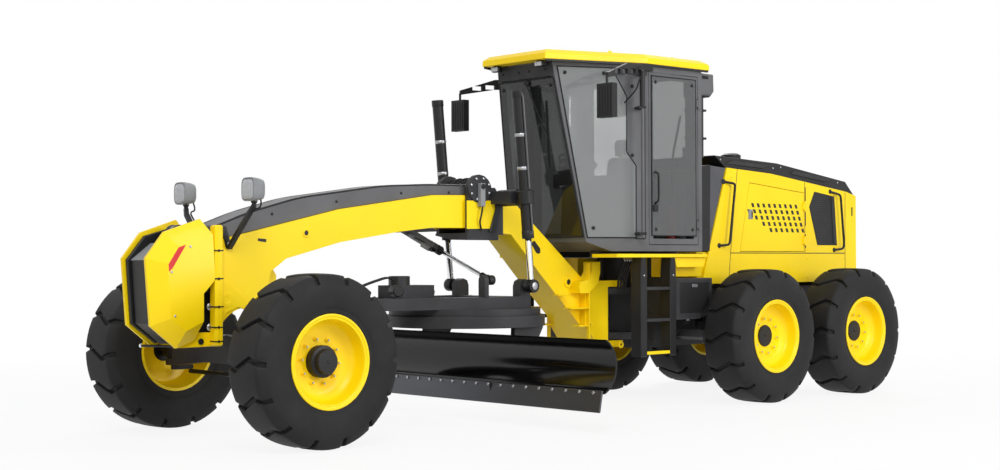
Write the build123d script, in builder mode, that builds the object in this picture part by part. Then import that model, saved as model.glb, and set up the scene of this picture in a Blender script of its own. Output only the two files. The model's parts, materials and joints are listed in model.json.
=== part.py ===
"""Motor grader: articulated frame, tandem drive, closed cab and a mouldboard under the front frame.

Millimetres. +X is forward, +Y the driver's left and +Z up; the origin is on the ground under
the middle of the machine's overall box. Places along the machine are measured from the front
axle with ahead(), negative behind it.
"""

import os
from math import atan2, cos, degrees, hypot, pi, radians, sin, tan

from build123d import *

os.makedirs("parts", exist_ok=True)

# ---------------------------------------------------------------- driving dimensions
wheelbase = 6219  # front axle to the tandem's centre
tandem_spacing = 1538
track = 2156  # centre to centre of the tyres on one axle
nose_reach = 945  # nose ahead of the front axle
tail_reach = 1660  # rear panel behind the tandem's centre
overall_length = nose_reach + wheelbase + tail_reach
hinge_reach = 4350  # articulation pin behind the front axle

front_axle_x = overall_length / 2 - nose_reach


def ahead(distance):
    """Frame X of a place so far ahead of the front axle, negative behind it."""
    return front_axle_x + distance


tandem_x = ahead(-wheelbase)
hinge_x = ahead(-hinge_reach)

fit_gap = 0.3  # between faces that sit on each other
pin_clearance = 0.05  # radial, in a running bore
turning_gap = 8  # between pieces that pass each other
round_sides = 16  # of bosses and bars drawn as prisms; what a joint turns on is truly round
small_sides = 8
centre_bore = 12  # radius of the bores on the axes that prisms turn about
bore_depth = 30

# tyres and rims
tyre_radius = 662
tyre_width = 452
tread_width = 372
bead_width = 392
bead_radius = 344
bulge_radius = 505
tyre_sides = 28
groove_count = 14
groove_depth = 30
groove_width = 44
groove_sweep = 46  # how far the zigzag swings along the tread
groove_knee = 92  # distance of its knees from the tyre's middle
rim_sides = 18
hub_sides = 12
rim_flange_radius = 358
rim_flange_width = 8
rim_lip_radius = 328
rim_dish_radius = 245
rim_disc_offset = 50  # outer face of the disc from the wheel's middle
rim_disc_thickness = 24
hub_radius = 112
hub_reach = 172  # outer face of a front hub from the wheel's middle
rear_hub_reach = 66
axle_z = tyre_radius
wheel_half = tyre_width / 2

# front frame: a box beam that rises from the axle, runs back level and drops to the hinge
beam_half = 180
beam_line = [  # (ahead, height) of the top edge of the beam's sides
    (270, 1583),
    (-914, 1850),
    (-1936, 1995),
    (-2391, 2007),
    (1393 - hinge_reach, 1930),
    (489 - hinge_reach, 1216),
]
beam_belly = [  # (ahead, height) of its lower edge, from the leg forward
    (180 - hinge_reach, 560),
    (360 - hinge_reach, 560),
    (490 - hinge_reach, 735),
    (1080 - hinge_reach, 1280),
    (1460 - hinge_reach, 1655),
    (-2391, 1710),
    (-1936, 1709),
    (-1563, 1669),
    (-913, 1572),
    (-372, 1437),
    (-215, 1330),
    (-190, 1190),
    (-60, 1110),
    (-60, 780),
    (270, 780),
]
arch_radius = 300
arch_z = 750
cap_rise = 92  # grey hose cover above the beam's yellow sides
cap_half = 150
hinge_half = 250
hinge_low, hinge_high = 560, 1216
ear_thickness = 62
ear_radius = 175
pin_radius = 48

# blade gear
ball_x, ball_z = ahead(-400), 1020
ball_radius = 62
circle_x = ahead(-2470)
circle_radius = 735
circle_bore = 560
circle_low, circle_high = 822, 925
blade_length = 3965
blade_x = ahead(-2205)
blade_low, blade_high = 182, 772
blade_thickness = 22
slide_gap = 0.5  # between the blade's rails and their carriers

# cab, on the rear frame
cab_floor, cab_ceiling = 1560, 3284
cab_front_low, cab_front_high = ahead(-3545), ahead(-3235)
cab_pillar_b, cab_rear = ahead(-4090), ahead(-4880)
cab_half = 790

# hood
hood_half = 600
hood_base = 1175

# ---------------------------------------------------------------- tyre and rim
tyre_bands = [  # (half width, distance of the flats), once round the section
    (-bead_width / 2, bead_radius),
    (-wheel_half, bulge_radius),
    (-tread_width / 2, tyre_radius),
    (tread_width / 2, tyre_radius),
    (wheel_half, bulge_radius),
    (bead_width / 2, bead_radius),
]


def polygon_ring(y, radius, sides):
    """Corners of a regular polygon round the Y axis, with a flat facing down."""
    turns = [2 * pi * (step + 0.5) / sides for step in range(sides)]
    return [Vector(radius * sin(turn), y, radius * cos(turn)) for turn in turns]


def flat_sided(rings, capped=False):
    """Solid with flat sides from ring to ring of corners; without caps the last ring joins the first."""
    pairs = list(zip(rings, rings[1:])) if capped else list(zip(rings, rings[1:] + rings[:1]))
    corners = range(len(rings[0]))
    sides = [Face(Wire.make_polygon([near[k - 1], near[k], far[k], far[k - 1]])) for near, far in pairs for k in corners]
    ends = [Face(Wire.make_polygon(ring)) for ring in (rings[0], rings[-1])] if capped else []
    return Solid(Shell(sides + ends))


groove_path = [  # (across the tread, along the tread)
    (-wheel_half - 10, 0),
    (-groove_knee, groove_sweep),
    (groove_knee, -groove_sweep),
    (wheel_half + 10, 0),
]
with BuildPart() as tyre:
    add(flat_sided([polygon_ring(half, radius / cos(pi / tyre_sides), tyre_sides) for half, radius in tyre_bands]))
    for step in range(groove_count):
        turn = Plane.XY.rotated((0, 360 / groove_count * (step + 0.5), 0))
        with BuildSketch(turn.offset(tyre_radius - groove_depth)):
            with BuildLine():
                near = [(along - groove_width / 2, across) for across, along in groove_path]
                far = [(along + groove_width / 2, across) for across, along in groove_path]
                Polyline(*near, *reversed(far), close=True)
            make_face()
        extrude(amount=2 * groove_depth, mode=Mode.SUBTRACT)

barrel_radius = bead_radius - fit_gap
bead_half = bead_width / 2 + 3
rim_outer = bead_half + 1 + rim_flange_width
dishes = [  # (half width, radius) at the mouth and at the disc, outer side then inner
    ((rim_outer, rim_lip_radius), (rim_disc_offset, rim_dish_radius)),
    ((-bead_half, rim_lip_radius - 8), (rim_disc_offset - rim_disc_thickness, rim_dish_radius + 20)),
]


def rim_shape(reach):
    """Rim, disc and hub of a wheel, facing +Y from its middle, with a hub that ends at reach."""
    with BuildPart() as rim:
        with BuildSketch(Plane.XZ.offset(-rim_outer)):
            RegularPolygon(barrel_radius, rim_sides)
        extrude(amount=rim_outer + bead_half)
        with BuildSketch(Plane.XZ.offset(-rim_outer)):
            RegularPolygon(rim_flange_radius, rim_sides)
        extrude(amount=rim_flange_width)
        for dish in dishes:
            hollow = flat_sided([polygon_ring(y, radius, rim_sides) for y, radius in dish], capped=True)
            add(hollow, mode=Mode.SUBTRACT)
        # hub cap
        with BuildSketch(Plane.XZ.offset(-reach)):
            RegularPolygon(hub_radius, hub_sides)
        extrude(amount=reach - rim_disc_offset)
    return rim.part


rims = {"front": rim_shape(hub_reach), "mid": rim_shape(rear_hub_reach), "rear": rim_shape(rear_hub_reach)}

# turned half round for the wheels on the driver's right, so that the dish faces outward
turned = Rotation(0, 0, 180)
wheel_places = [  # (name, ahead of the front axle, side)
    ("front_left", 0, 1),
    ("front_right", 0, -1),
    ("mid_left", -wheelbase + tandem_spacing / 2, 1),
    ("mid_right", -wheelbase + tandem_spacing / 2, -1),
    ("rear_left", -wheelbase - tandem_spacing / 2, 1),
    ("rear_right", -wheelbase - tandem_spacing / 2, -1),
]
for place, distance, side in wheel_places:
    spot = Location((ahead(distance), side * track / 2, axle_z))
    for kind, shape in (("tyre", tyre.part), ("rim", rims[place.split("_")[0]])):
        piece = spot * shape if side > 0 else spot * (turned * shape)
        piece.label = f"{kind}_{place}"
        export_step(piece, f"parts/{kind}_{place}.step")

# ---------------------------------------------------------------- front frame
with BuildPart() as front_frame:
    with BuildSketch(Plane.XZ):
        with BuildLine():
            Polyline(*[(ahead(x), z) for x, z in beam_line + [(180 - hinge_reach, hinge_high)] + beam_belly], close=True)
        make_face()
    extrude(amount=beam_half, both=True)
    # arch over the axle
    with BuildSketch(Plane.XZ):
        with Locations((ahead(0), arch_z)):
            RegularPolygon(arch_radius, 2 * round_sides)
    extrude(amount=beam_half, both=True, mode=Mode.SUBTRACT)
    # wider foot at the hinge
    with BuildSketch(Plane.XZ):
        with BuildLine():
            Polyline(
                (hinge_x + 360, hinge_low),
                (hinge_x + 550, 800),
                (hinge_x + 550, hinge_high),
                (hinge_x + 230, hinge_high),
                (hinge_x + 230, hinge_low),
                close=True,
            )
        make_face()
    extrude(amount=hinge_half, both=True)
    # hinge ears, top and bottom, with round ends
    for low in (hinge_low, hinge_high - ear_thickness):
        with BuildSketch(Plane.XY.offset(low)):
            with Locations((hinge_x, 0)):
                RegularPolygon(ear_radius, round_sides)
            with Locations(((hinge_x + hinge_x + 350) / 2, 0)):
                Rectangle(hinge_x + 350 - hinge_x, 2 * ear_radius)
        extrude(amount=ear_thickness)
    with Locations((hinge_x, 0, hinge_high)):
        Hole(pin_radius + pin_clearance)
    # cab-side guard arms beside the leg
    for side in (1, -1):
        with BuildSketch(Plane.XZ.offset(-side * (beam_half + 60))):
            with BuildLine():
                Polyline((hinge_x + 670, 1100), (hinge_x + 550, 1100), (hinge_x + 420, 1190), (hinge_x + 390, 1300),
                         (hinge_x + 390, 1400), (hinge_x + 500, 1400), (hinge_x + 500, 1310), (hinge_x + 550, 1230),
                         (hinge_x + 670, 1210), close=True)
            make_face()
        extrude(amount=60, both=True)
    # tongue behind the axle: rear bearing of the axle's pivot and socket of the drawbar's ball
    with BuildSketch(Plane.XZ):
        with BuildLine():
            Polyline((ahead(-200), 1500), (ahead(-330), 1300), (ahead(-330), ball_z + 75), (ball_x + 72, ball_z + 75),
                     (ball_x + 72, ball_z - 75), (ahead(-330), ball_z - 75), (ahead(-310), 660), (ahead(-200), 660),
                     close=True)
        make_face()
    extrude(amount=95, both=True)
    with BuildSketch(Plane.YZ.offset(ahead(-320))):
        with Locations((0, arch_z)):
            RegularPolygon(75 + pin_clearance, small_sides)
    extrude(amount=130, mode=Mode.SUBTRACT)

with BuildPart() as beam_cap:
    with BuildSketch(Plane.XZ):
        with BuildLine():
            top = [(x, z + fit_gap) for x, z in beam_line[:4]]
            rise = [(beam_line[3][0], 2100), (-1936, 2096), (-1400, 2068), (-520, 1942), (-32, 1812), (270, 1700)]
            Polyline(*[(ahead(x), z) for x, z in top + rise], close=True)
        make_face()
    extrude(amount=cap_half, both=True)

# ---------------------------------------------------------------- nose
nose_half = 173
wing_side = [  # (ahead, height) of a wing seen from the side
    (928, 1440),
    (886, 924),
    (662, 745),
    (270.3, 760),
    (270.3, 1600),
    (449, 1748),
    (768, 1642),
]
with BuildPart() as nose_cowl:
    for side in (1, -1):
        with BuildSketch(Plane.XZ.offset(-side * (nose_half - 10))):
            with BuildLine():
                Polyline(*[(ahead(x), z) for x, z in wing_side], close=True)
            make_face()
        extrude(amount=-side * 26)
        with BuildSketch(Plane.XZ.offset(-side * (nose_half + 16))):
            with BuildLine():
                Polyline(*[(ahead(x), z) for x, z in wing_side], close=True)
            make_face()
        extrude(amount=-side * 60, taper=40)

with BuildPart() as nose_core:
    with BuildSketch(Plane.XZ):
        with BuildLine():
            Polyline((ahead(925), 1420), (ahead(945), 1400), (ahead(905), 950), (ahead(870), 930), (ahead(640), 770),
                     (ahead(270.3), 790), (ahead(270.3), 1560), (ahead(460), 1700), (ahead(745), 1625), close=True)
        make_face()
    extrude(amount=nose_half - 10 - fit_gap, both=True)

with BuildPart() as head_lamps:
    for side in (1, -1):
        with BuildSketch(Plane.XY.offset(1600)):
            with Locations((ahead(200), side * (beam_half + 11 + fit_gap))):
                Rectangle(50, 22)
        with BuildSketch(Plane.XY.offset(1880)):
            with Locations((ahead(160), side * 480)):
                Rectangle(50, 22)
        loft()
        with Locations((ahead(160), side * 497, 1975)):
            Box(150, 190, 190)

# ---------------------------------------------------------------- front axle
kingpin_y = 930
kingpin_radius = 30
arm_length = 150
arm_thickness = 34
fork_low, fork_high = 540, 790  # outer faces of the axle's forks
fork_plate = 55
axle_end = kingpin_y - 95
with BuildPart() as front_axle:
    with BuildSketch(Plane.YZ.offset(ahead(0))):
        with BuildLine():
            Polyline((-axle_end, fork_low), (-axle_end, fork_high), (-420, 815), (420, 815),
                     (axle_end, fork_high), (axle_end, fork_low), (420, 590), (-420, 590), close=True)
        make_face()
    extrude(amount=85, both=True)
    for low in (fork_low, fork_high - fork_plate):
        with BuildSketch(Plane.XY.offset(low)):
            for side in (1, -1):
                with Locations((ahead(0), side * kingpin_y)):
                    RegularPolygon(78, small_sides)
                with Locations((ahead(0), side * (axle_end + kingpin_y) / 2)):
                    Rectangle(156, kingpin_y - axle_end)
        extrude(amount=fork_plate)
    with BuildSketch(Plane.XY.offset(fork_low)):
        with Locations((ahead(0), kingpin_y), (ahead(0), -kingpin_y)):
            RegularPolygon(kingpin_radius + pin_clearance, small_sides, major_radius=False)
    extrude(amount=fork_high - fork_low, mode=Mode.SUBTRACT)
    # pivot in the arch of the front frame
    with BuildSketch(Plane.YZ.offset(ahead(-300))):
        with Locations((0, arch_z)):
            RegularPolygon(75, small_sides)
    extrude(amount=385)

arm_low = fork_low - turning_gap - arm_thickness  # steering arms, under the forks
for name, side in (("left", 1), ("right", -1)):
    with BuildPart() as knuckle:
        knuckle_low = fork_low + fork_plate + turning_gap
        knuckle_high = fork_high - fork_plate - turning_gap
        with BuildSketch(Plane.XY.offset(knuckle_low)):
            with Locations((ahead(0), side * kingpin_y)):
                RegularPolygon(72, small_sides)
        extrude(amount=knuckle_high - knuckle_low)
        with BuildSketch(Plane.XZ.offset(-side * kingpin_y)):
            with Locations((ahead(0), axle_z)):
                RegularPolygon(60, small_sides)
        spindle_end = track / 2 + rim_disc_offset - rim_disc_thickness - fit_gap
        extrude(amount=-side * (spindle_end - kingpin_y))
        with BuildSketch(Plane.XZ.offset(-side * spindle_end)):
            with Locations((ahead(0), axle_z)):
                Circle(centre_bore)
        extrude(amount=side * bore_depth, mode=Mode.SUBTRACT)
        with BuildSketch(Plane.XY.offset(arm_low)):
            with Locations((ahead(0), side * kingpin_y)):
                RegularPolygon(kingpin_radius, round_sides)
        extrude(amount=fork_high - arm_low)
        with BuildSketch(Plane.XY.offset(arm_low)):
            with Locations((ahead(-arm_length / 2), side * kingpin_y)):
                Rectangle(arm_length, 2 * kingpin_radius)
            with Locations((ahead(-arm_length), side * kingpin_y)):
                RegularPolygon(kingpin_radius, small_sides)
        extrude(amount=arm_thickness)
        with BuildSketch(Plane.XY.offset(arm_low)):
            with Locations((ahead(0), side * kingpin_y), (ahead(-arm_length), side * kingpin_y)):
                Circle(centre_bore)
        extrude(amount=bore_depth, mode=Mode.SUBTRACT)
    knuckle.part.label = f"knuckle_{name}"
    export_step(knuckle.part, f"parts/knuckle_{name}.step")

tie_rod_radius = 20
tie_rod_z = arm_low - fit_gap - tie_rod_radius
with BuildPart() as tie_rod:
    with BuildSketch(Plane.XZ.offset(-kingpin_y)):
        with Locations((ahead(-arm_length), tie_rod_z)):
            RegularPolygon(tie_rod_radius, small_sides)
    extrude(amount=2 * kingpin_y)

# ---------------------------------------------------------------- swing cylinder's places
swing_x = ahead(-2420)
swing_top = Vector(swing_x, -850, 1729)
swing_foot = Vector(swing_x, 400, 1241)
swing_line = swing_foot - swing_top
swing_plane = Plane(origin=swing_top, x_dir=(1, 0, 0), z_dir=swing_line)
swing_eye_half = 30
swing_head_half = 45
swing_eye_radius = 42
swing_drift = 22  # the drawbar's lug stands so far ahead of the rod's eye
swing_barrel_length = 570
swing_rod_start = 208

# ---------------------------------------------------------------- drawbar
bar_low, bar_high = 985, 1090
bar_rear = -2790  # rear face of the bar across its tail
ball_stud_radius = 45
lift_y = 552  # lift cylinders' distance from the middle
lift_eye_half = 40
lift_ball = (ahead(-2790), 1185)
with BuildPart() as drawbar:
    for side in (1, -1):
        with BuildSketch(Plane.XY.offset(bar_low)):
            with BuildLine():
                Polyline((ball_x - 60, 0), (ball_x - 60, side * 75), (ahead(-2550), side * 470),
                         (ahead(bar_rear - 70), side * 470), (ahead(bar_rear - 70), side * 330),
                         (ahead(-2560), side * 330), (ball_x - 260, 0), close=True)
            make_face()
        extrude(amount=bar_high - bar_low)
    with BuildSketch(Plane.XY.offset(bar_low)):
        with Locations((ahead(bar_rear + 75), 0)):
            Rectangle(150, 800)
        with Locations((ahead(-1750), 0)):
            Rectangle(180, 500)
    extrude(amount=bar_high - bar_low)
    # plate that the circle hangs from
    with BuildSketch(Plane.XY.offset(circle_high + fit_gap)):
        with Locations((circle_x, 0)):
            RegularPolygon(circle_radius - 40, 2 * round_sides)
            RegularPolygon(380, round_sides, mode=Mode.SUBTRACT)
    extrude(amount=bar_low - circle_high - fit_gap)
    # ball neck
    with BuildSketch(Plane.YZ.offset(ball_x - 80)):
        with Locations((0, ball_z)):
            RegularPolygon(45, small_sides)
    extrude(amount=80)
    with BuildSketch(Plane.XZ.offset(-ball_radius)):
        with Locations((ball_x, ball_z)):
            Circle(ball_radius)
    extrude(amount=2 * ball_radius)
    # circle drive
    with BuildSketch(Plane.XY.offset(bar_high)):
        with Locations((ahead(-1780), 0)):
            Rectangle(430, 260)
    extrude(amount=110)
    with BuildSketch(Plane.XY.offset(bar_high + 110)):
        with Locations((ahead(-1700), 0)):
            RegularPolygon(95, small_sides)
    extrude(amount=80)
    # lug of the swing rod, standing on the left bar
    with BuildSketch(Plane.YZ.offset(swing_x + swing_eye_half + swing_drift)):
        with Locations((swing_foot.Y, swing_foot.Z)):
            RegularPolygon(swing_eye_radius, round_sides)
        with Locations((swing_foot.Y, (bar_high + swing_foot.Z) / 2)):
            Rectangle(2 * swing_eye_radius, swing_foot.Z - bar_high)
    extrude(amount=50)
    # rear corners with the studs of the lift rods
    for side in (1, -1):
        with BuildSketch(Plane.XZ.offset(-side * 370)):
            with Locations(lift_ball):
                RegularPolygon(62, small_sides)
            with Locations((lift_ball[0], (bar_low + lift_ball[1]) / 2)):
                Rectangle(124, lift_ball[1] - bar_low)
        extrude(amount=-side * 100)
        with BuildSketch(Plane.XZ.offset(-side * 470)):
            with Locations(lift_ball):
                RegularPolygon(ball_stud_radius, small_sides)
        extrude(amount=-side * (lift_y - lift_eye_half - fit_gap - 470))

# ---------------------------------------------------------------- circle and blade
tip_x, tip_z = ahead(-2540), 420
arm_y, arm_plate = 610, 50
with BuildPart() as circle:
    with BuildSketch(Plane.XY.offset(circle_low)):
        with Locations((circle_x, 0)):
            RegularPolygon(circle_radius, 2 * round_sides)
            Circle(circle_bore, mode=Mode.SUBTRACT)
    extrude(amount=circle_high - circle_low)
    for side in (1, -1):
        with BuildSketch(Plane.XZ.offset(-side * (arm_y - arm_plate / 2))):
            with BuildLine():
                Polyline((ahead(-2500), circle_low), (ahead(-2860), circle_low), (tip_x - 70, tip_z - 20),
                         (tip_x - 30, tip_z - 75), (tip_x + 30, tip_z - 75), (tip_x + 60, tip_z), close=True)
            make_face()
        extrude(amount=-side * arm_plate)
    with BuildSketch(Plane.XZ):
        with Locations((tip_x, tip_z)):
            RegularPolygon(35 + pin_clearance, small_sides, major_radius=False)
    extrude(amount=arm_y + arm_plate, both=True, mode=Mode.SUBTRACT)

plate_y = arm_y - arm_plate - 25
with BuildPart() as blade_carrier:
    for side in (1, -1):
        with BuildSketch(Plane.XZ.offset(-side * (plate_y - 20))):
            with BuildLine():
                Polyline((blade_x - 225 - slide_gap, 725), (blade_x - 300, 725), (tip_x - 75, tip_z),
                         (tip_x, tip_z - 75), (blade_x - 100 - slide_gap, 300), (blade_x - 100 - slide_gap, 380),
                         (blade_x - 205, 400), (blade_x - 225 - slide_gap, 560), close=True)
            make_face()
        extrude(amount=-side * 40)
    with BuildSketch(Plane.XZ.offset(arm_y + arm_plate / 2)):
        with Locations((tip_x, tip_z)):
            RegularPolygon(35, round_sides)
            Circle(centre_bore, mode=Mode.SUBTRACT)
    extrude(amount=-2 * arm_y - arm_plate)

blade_foot = 330  # lower end of the curved sheet
blade_hollow = 150
edge_thickness = 19
edge_lap = 30  # the cutting edge's lap over the sheet
edge_lean = 0.19  # backward lean of the sheet there
with BuildPart() as mouldboard:
    with BuildSketch(Plane.XZ.offset(-blade_length / 2)):
        with BuildLine():
            ThreePointArc((blade_x, blade_foot), (blade_x - blade_hollow, 560), (blade_x - 20, blade_high))
            Line((blade_x - 20, blade_high), (blade_x - 45, blade_high))
            ThreePointArc((blade_x - 45, blade_high), (blade_x - blade_hollow - blade_thickness, 560),
                          (blade_x - 26, blade_foot))
            Line((blade_x - 26, blade_foot), (blade_x, blade_foot))
        make_face()
    extrude(amount=blade_length)
    # rails along its back
    with BuildSketch(Plane.XZ.offset(-1250)):
        with Locations((blade_x - 190, 650)):
            Rectangle(70, 50)
        with Locations((blade_x - 70, 350)):
            Rectangle(60, 50)
    extrude(amount=2500)

with BuildPart() as cutting_edge:
    with BuildSketch(Plane.XZ.offset(-blade_length / 2)):
        with BuildLine():
            Polyline((blade_x + fit_gap, blade_foot), (blade_x + fit_gap - edge_lap * edge_lean, blade_foot + edge_lap),
                     (blade_x + edge_thickness - edge_lap * edge_lean, blade_foot + edge_lap),
                     (blade_x + edge_thickness + 29, blade_low), (blade_x + 29, blade_low), close=True)
        make_face()
    extrude(amount=blade_length)

# ---------------------------------------------------------------- saddle and its cylinders
saddle_x = ahead(-2520)
trunnion_x, trunnion_z = ahead(-2713), 1985
lift_reach = hypot(trunnion_x - lift_ball[0], trunnion_z - lift_ball[1])
lift_tilt = atan2(trunnion_x - lift_ball[0], trunnion_z - lift_ball[1])
barrel_radius_lift, rod_radius_lift = 52, 30
collar_radius = 78
cheek = 40
with BuildPart() as saddle:
    for side in (1, -1):
        with BuildSketch(Plane.XZ.offset(-side * (beam_half + fit_gap))):
            with Locations((saddle_x + 60, 2045)):
                RegularPolygon(150, round_sides)
            with BuildLine():
                Polyline((saddle_x + 200, 2080), (saddle_x - 130, 2080),
                         (saddle_x - 230, 1950), (saddle_x - 230, 1650), (saddle_x + 200, 1650), close=True)
            make_face()
        extrude(amount=-side * cheek)
        with BuildSketch(Plane.XZ.offset(-side * (beam_half + cheek))):
            with Locations((trunnion_x, trunnion_z)):
                RegularPolygon(75, round_sides)
            with Locations((trunnion_x + 60, trunnion_z)):
                Rectangle(120, 110)
        extrude(amount=-side * (lift_y - collar_radius - 2 - beam_half - cheek))
        with BuildSketch(Plane.XZ.offset(-side * (lift_y - collar_radius - 60))):
            with Locations((trunnion_x, trunnion_z)):
                RegularPolygon(28 + pin_clearance, round_sides, major_radius=False)
        extrude(amount=-side * 60, mode=Mode.SUBTRACT)
    # yoke under the beam, higher on the side where the swing cylinder passes
    yoke_half = beam_half + cheek + fit_gap
    with BuildSketch(Plane.YZ.offset(ahead(-2690))):
        with BuildLine():
            Polyline((-yoke_half, 1665), (yoke_half, 1665), (yoke_half, 1600), (0, 1605), (-yoke_half, 1645), close=True)
        make_face()
    extrude(amount=380)
    # arm of the swing cylinder, with an ear each side of its eye
    arm_inner = beam_half + 15
    for step in (swing_head_half + fit_gap, -swing_head_half - fit_gap - 25):
        with BuildSketch(Plane.YZ.offset(swing_x + step)):
            with BuildLine():
                Polyline((-arm_inner, 1920), (-arm_inner, 1690), (swing_top.Y - 20, swing_top.Z - 45),
                         (swing_top.Y - 45, swing_top.Z), (swing_top.Y - 20, swing_top.Z + 45), close=True)
            make_face()
        extrude(amount=25)

slide_axis = (sin(lift_tilt), 0, cos(lift_tilt))  # up along a lift cylinder
for name, side in (("left", 1), ("right", -1)):
    pin = Plane(origin=(lift_ball[0], side * lift_y, lift_ball[1]),
                x_dir=(cos(lift_tilt), 0, -sin(lift_tilt)), z_dir=slide_axis)
    with BuildPart() as lift_barrel:
        with BuildSketch(pin.offset(430)):
            RegularPolygon(barrel_radius_lift, round_sides)
        extrude(amount=1330)
        with BuildSketch(pin.offset(lift_reach - 60)):
            RegularPolygon(collar_radius, round_sides)
        extrude(amount=120)
        with BuildSketch(Plane.XZ.offset(-side * lift_y)):
            with Locations((trunnion_x, trunnion_z)):
                Circle(28)
        extrude(amount=side * (collar_radius + 58))
        with BuildSketch(pin.offset(420)):
            RegularPolygon(rod_radius_lift + pin_clearance, round_sides)
        extrude(amount=1310, mode=Mode.SUBTRACT)
    lift_barrel.part.label = f"lift_barrel_{name}"
    export_step(lift_barrel.part, f"parts/lift_barrel_{name}.step")
    with BuildPart() as lift_rod:
        with BuildSketch(pin.offset(40)):
            RegularPolygon(rod_radius_lift, round_sides)
        extrude(amount=1310)
        with BuildSketch(Plane.XZ.offset(-side * (lift_y - lift_eye_half))):
            with Locations(lift_ball):
                RegularPolygon(58, round_sides)
        extrude(amount=-side * 2 * lift_eye_half)
    lift_rod.part.label = f"lift_rod_{name}"
    export_step(lift_rod.part, f"parts/lift_rod_{name}.step")

# swing cylinder, from the saddle's right arm down to the drawbar's left bar
with BuildPart() as swing_barrel:
    with BuildSketch(swing_plane.offset(30)):
        RegularPolygon(40, round_sides)
    extrude(amount=swing_barrel_length)
    with BuildSketch(Plane.YZ.offset(swing_x - swing_head_half)):
        with Locations((swing_top.Y, swing_top.Z)):
            RegularPolygon(swing_eye_radius, round_sides)
            Circle(centre_bore, mode=Mode.SUBTRACT)
    extrude(amount=2 * swing_head_half)
    with BuildSketch(swing_plane.offset(50)):
        RegularPolygon(20 + pin_clearance, round_sides)
    extrude(amount=swing_barrel_length, mode=Mode.SUBTRACT)
with BuildPart() as swing_rod:
    with BuildSketch(swing_plane.offset(swing_rod_start)):
        RegularPolygon(20, round_sides)
    extrude(amount=swing_line.length - swing_rod_start - 10)
    with BuildSketch(Plane.YZ.offset(swing_x - swing_eye_half)):
        with Locations((swing_foot.Y, swing_foot.Z)):
            RegularPolygon(swing_eye_radius, round_sides)
    extrude(amount=2 * swing_eye_half)

# ---------------------------------------------------------------- rear frame
rail_low, rail_high = 860, 1130
rail_in, rail_out = 300, 385
rail_end = ahead(-7781) + fit_gap
lug_plate = 70
carrier_out = 480  # outer faces of the cab's carriers
with BuildPart() as rear_frame:
    for side in (1, -1):
        with BuildSketch(Plane.XZ.offset(-side * rail_in)):
            with BuildLine():
                Polyline((hinge_x - 290, 600), (hinge_x - 290, 1440), (hinge_x - 710, 1440), (hinge_x - 710, rail_high),
                         (rail_end, rail_high), (rail_end, rail_low + 60), (hinge_x - 850, rail_low),
                         (hinge_x - 550, 600), close=True)
            make_face()
        extrude(amount=-side * (rail_out - rail_in))
    # cross members
    for x, low, high in ((hinge_x - 290, 600, 1180), (hinge_x - 950, rail_low, rail_high),
                         (ahead(-7650), rail_low + 60, rail_high)):
        with BuildSketch(Plane.YZ.offset(x)):
            with Locations((0, (low + high) / 2)):
                Rectangle(2 * rail_in, high - low)
        extrude(amount=-60)
    # hinge lugs between the front frame's ears, and their pin
    for low in (hinge_low + ear_thickness + turning_gap, hinge_high - ear_thickness - turning_gap - lug_plate):
        with BuildSketch(Plane.XY.offset(low)):
            with Locations((hinge_x, 0)):
                RegularPolygon(150, round_sides)
            with BuildLine():
                Polyline((hinge_x, -150), (hinge_x, 150), (hinge_x - 290, rail_in), (hinge_x - 290, -rail_in), close=True)
            make_face()
        extrude(amount=lug_plate)
    with BuildSketch(Plane.XY.offset(hinge_low)):
        with Locations((hinge_x, 0)):
            Circle(pin_radius)
    extrude(amount=hinge_high - hinge_low)
    # cab carriers reaching forward over the hinge
    for side in (1, -1):
        with BuildSketch(Plane.XY.offset(1440)):
            with Locations((hinge_x + 30, side * (carrier_out - 60))):
                Rectangle(1140, 120)
        extrude(amount=60)

with BuildPart() as rear_axle:
    with BuildSketch(Plane.XZ.offset(-640)):
        with Locations((tandem_x, axle_z)):
            RegularPolygon(125, small_sides)
    extrude(amount=1280)
    with BuildSketch(Plane.XZ.offset(-170)):
        with Locations((tandem_x, axle_z)):
            RegularPolygon(195, small_sides)
    extrude(amount=340)
    with BuildSketch(Plane.XY.offset(axle_z)):
        for side in (1, -1):
            with Locations((tandem_x, side * (rail_in + rail_out) / 2)):
                Rectangle(240, 85)
    extrude(amount=rail_low + 20 - axle_z)

case_in, case_out = 640, 820
case_radius = 190
with BuildPart() as tandem_cases:
    for side in (1, -1):
        with BuildSketch(Plane.XZ.offset(-side * case_in)):
            with Locations((tandem_x, axle_z)):
                Rectangle(tandem_spacing, 2 * case_radius)
            with Locations((tandem_x - tandem_spacing / 2, axle_z), (tandem_x + tandem_spacing / 2, axle_z)):
                RegularPolygon(case_radius, round_sides)
        extrude(amount=-side * (case_out - case_in))
        with BuildSketch(Plane.XZ.offset(-side * case_out)):
            with Locations((tandem_x - tandem_spacing / 2, axle_z), (tandem_x + tandem_spacing / 2, axle_z)):
                RegularPolygon(105, small_sides)
        extrude(amount=-side * (spindle_end - case_out))
        with BuildSketch(Plane.XZ.offset(-side * spindle_end)):
            with Locations((tandem_x - tandem_spacing / 2, axle_z), (tandem_x + tandem_spacing / 2, axle_z)):
                Circle(centre_bore)
        extrude(amount=side * bore_depth, mode=Mode.SUBTRACT)

# ---------------------------------------------------------------- door hinges
hinge_pin = 6
hinge_barrel = 11  # outer radius
hinge_length = 70
hinge_lug = 14
hinge_stand = 14  # pin's distance outside the wall that carries it


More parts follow.
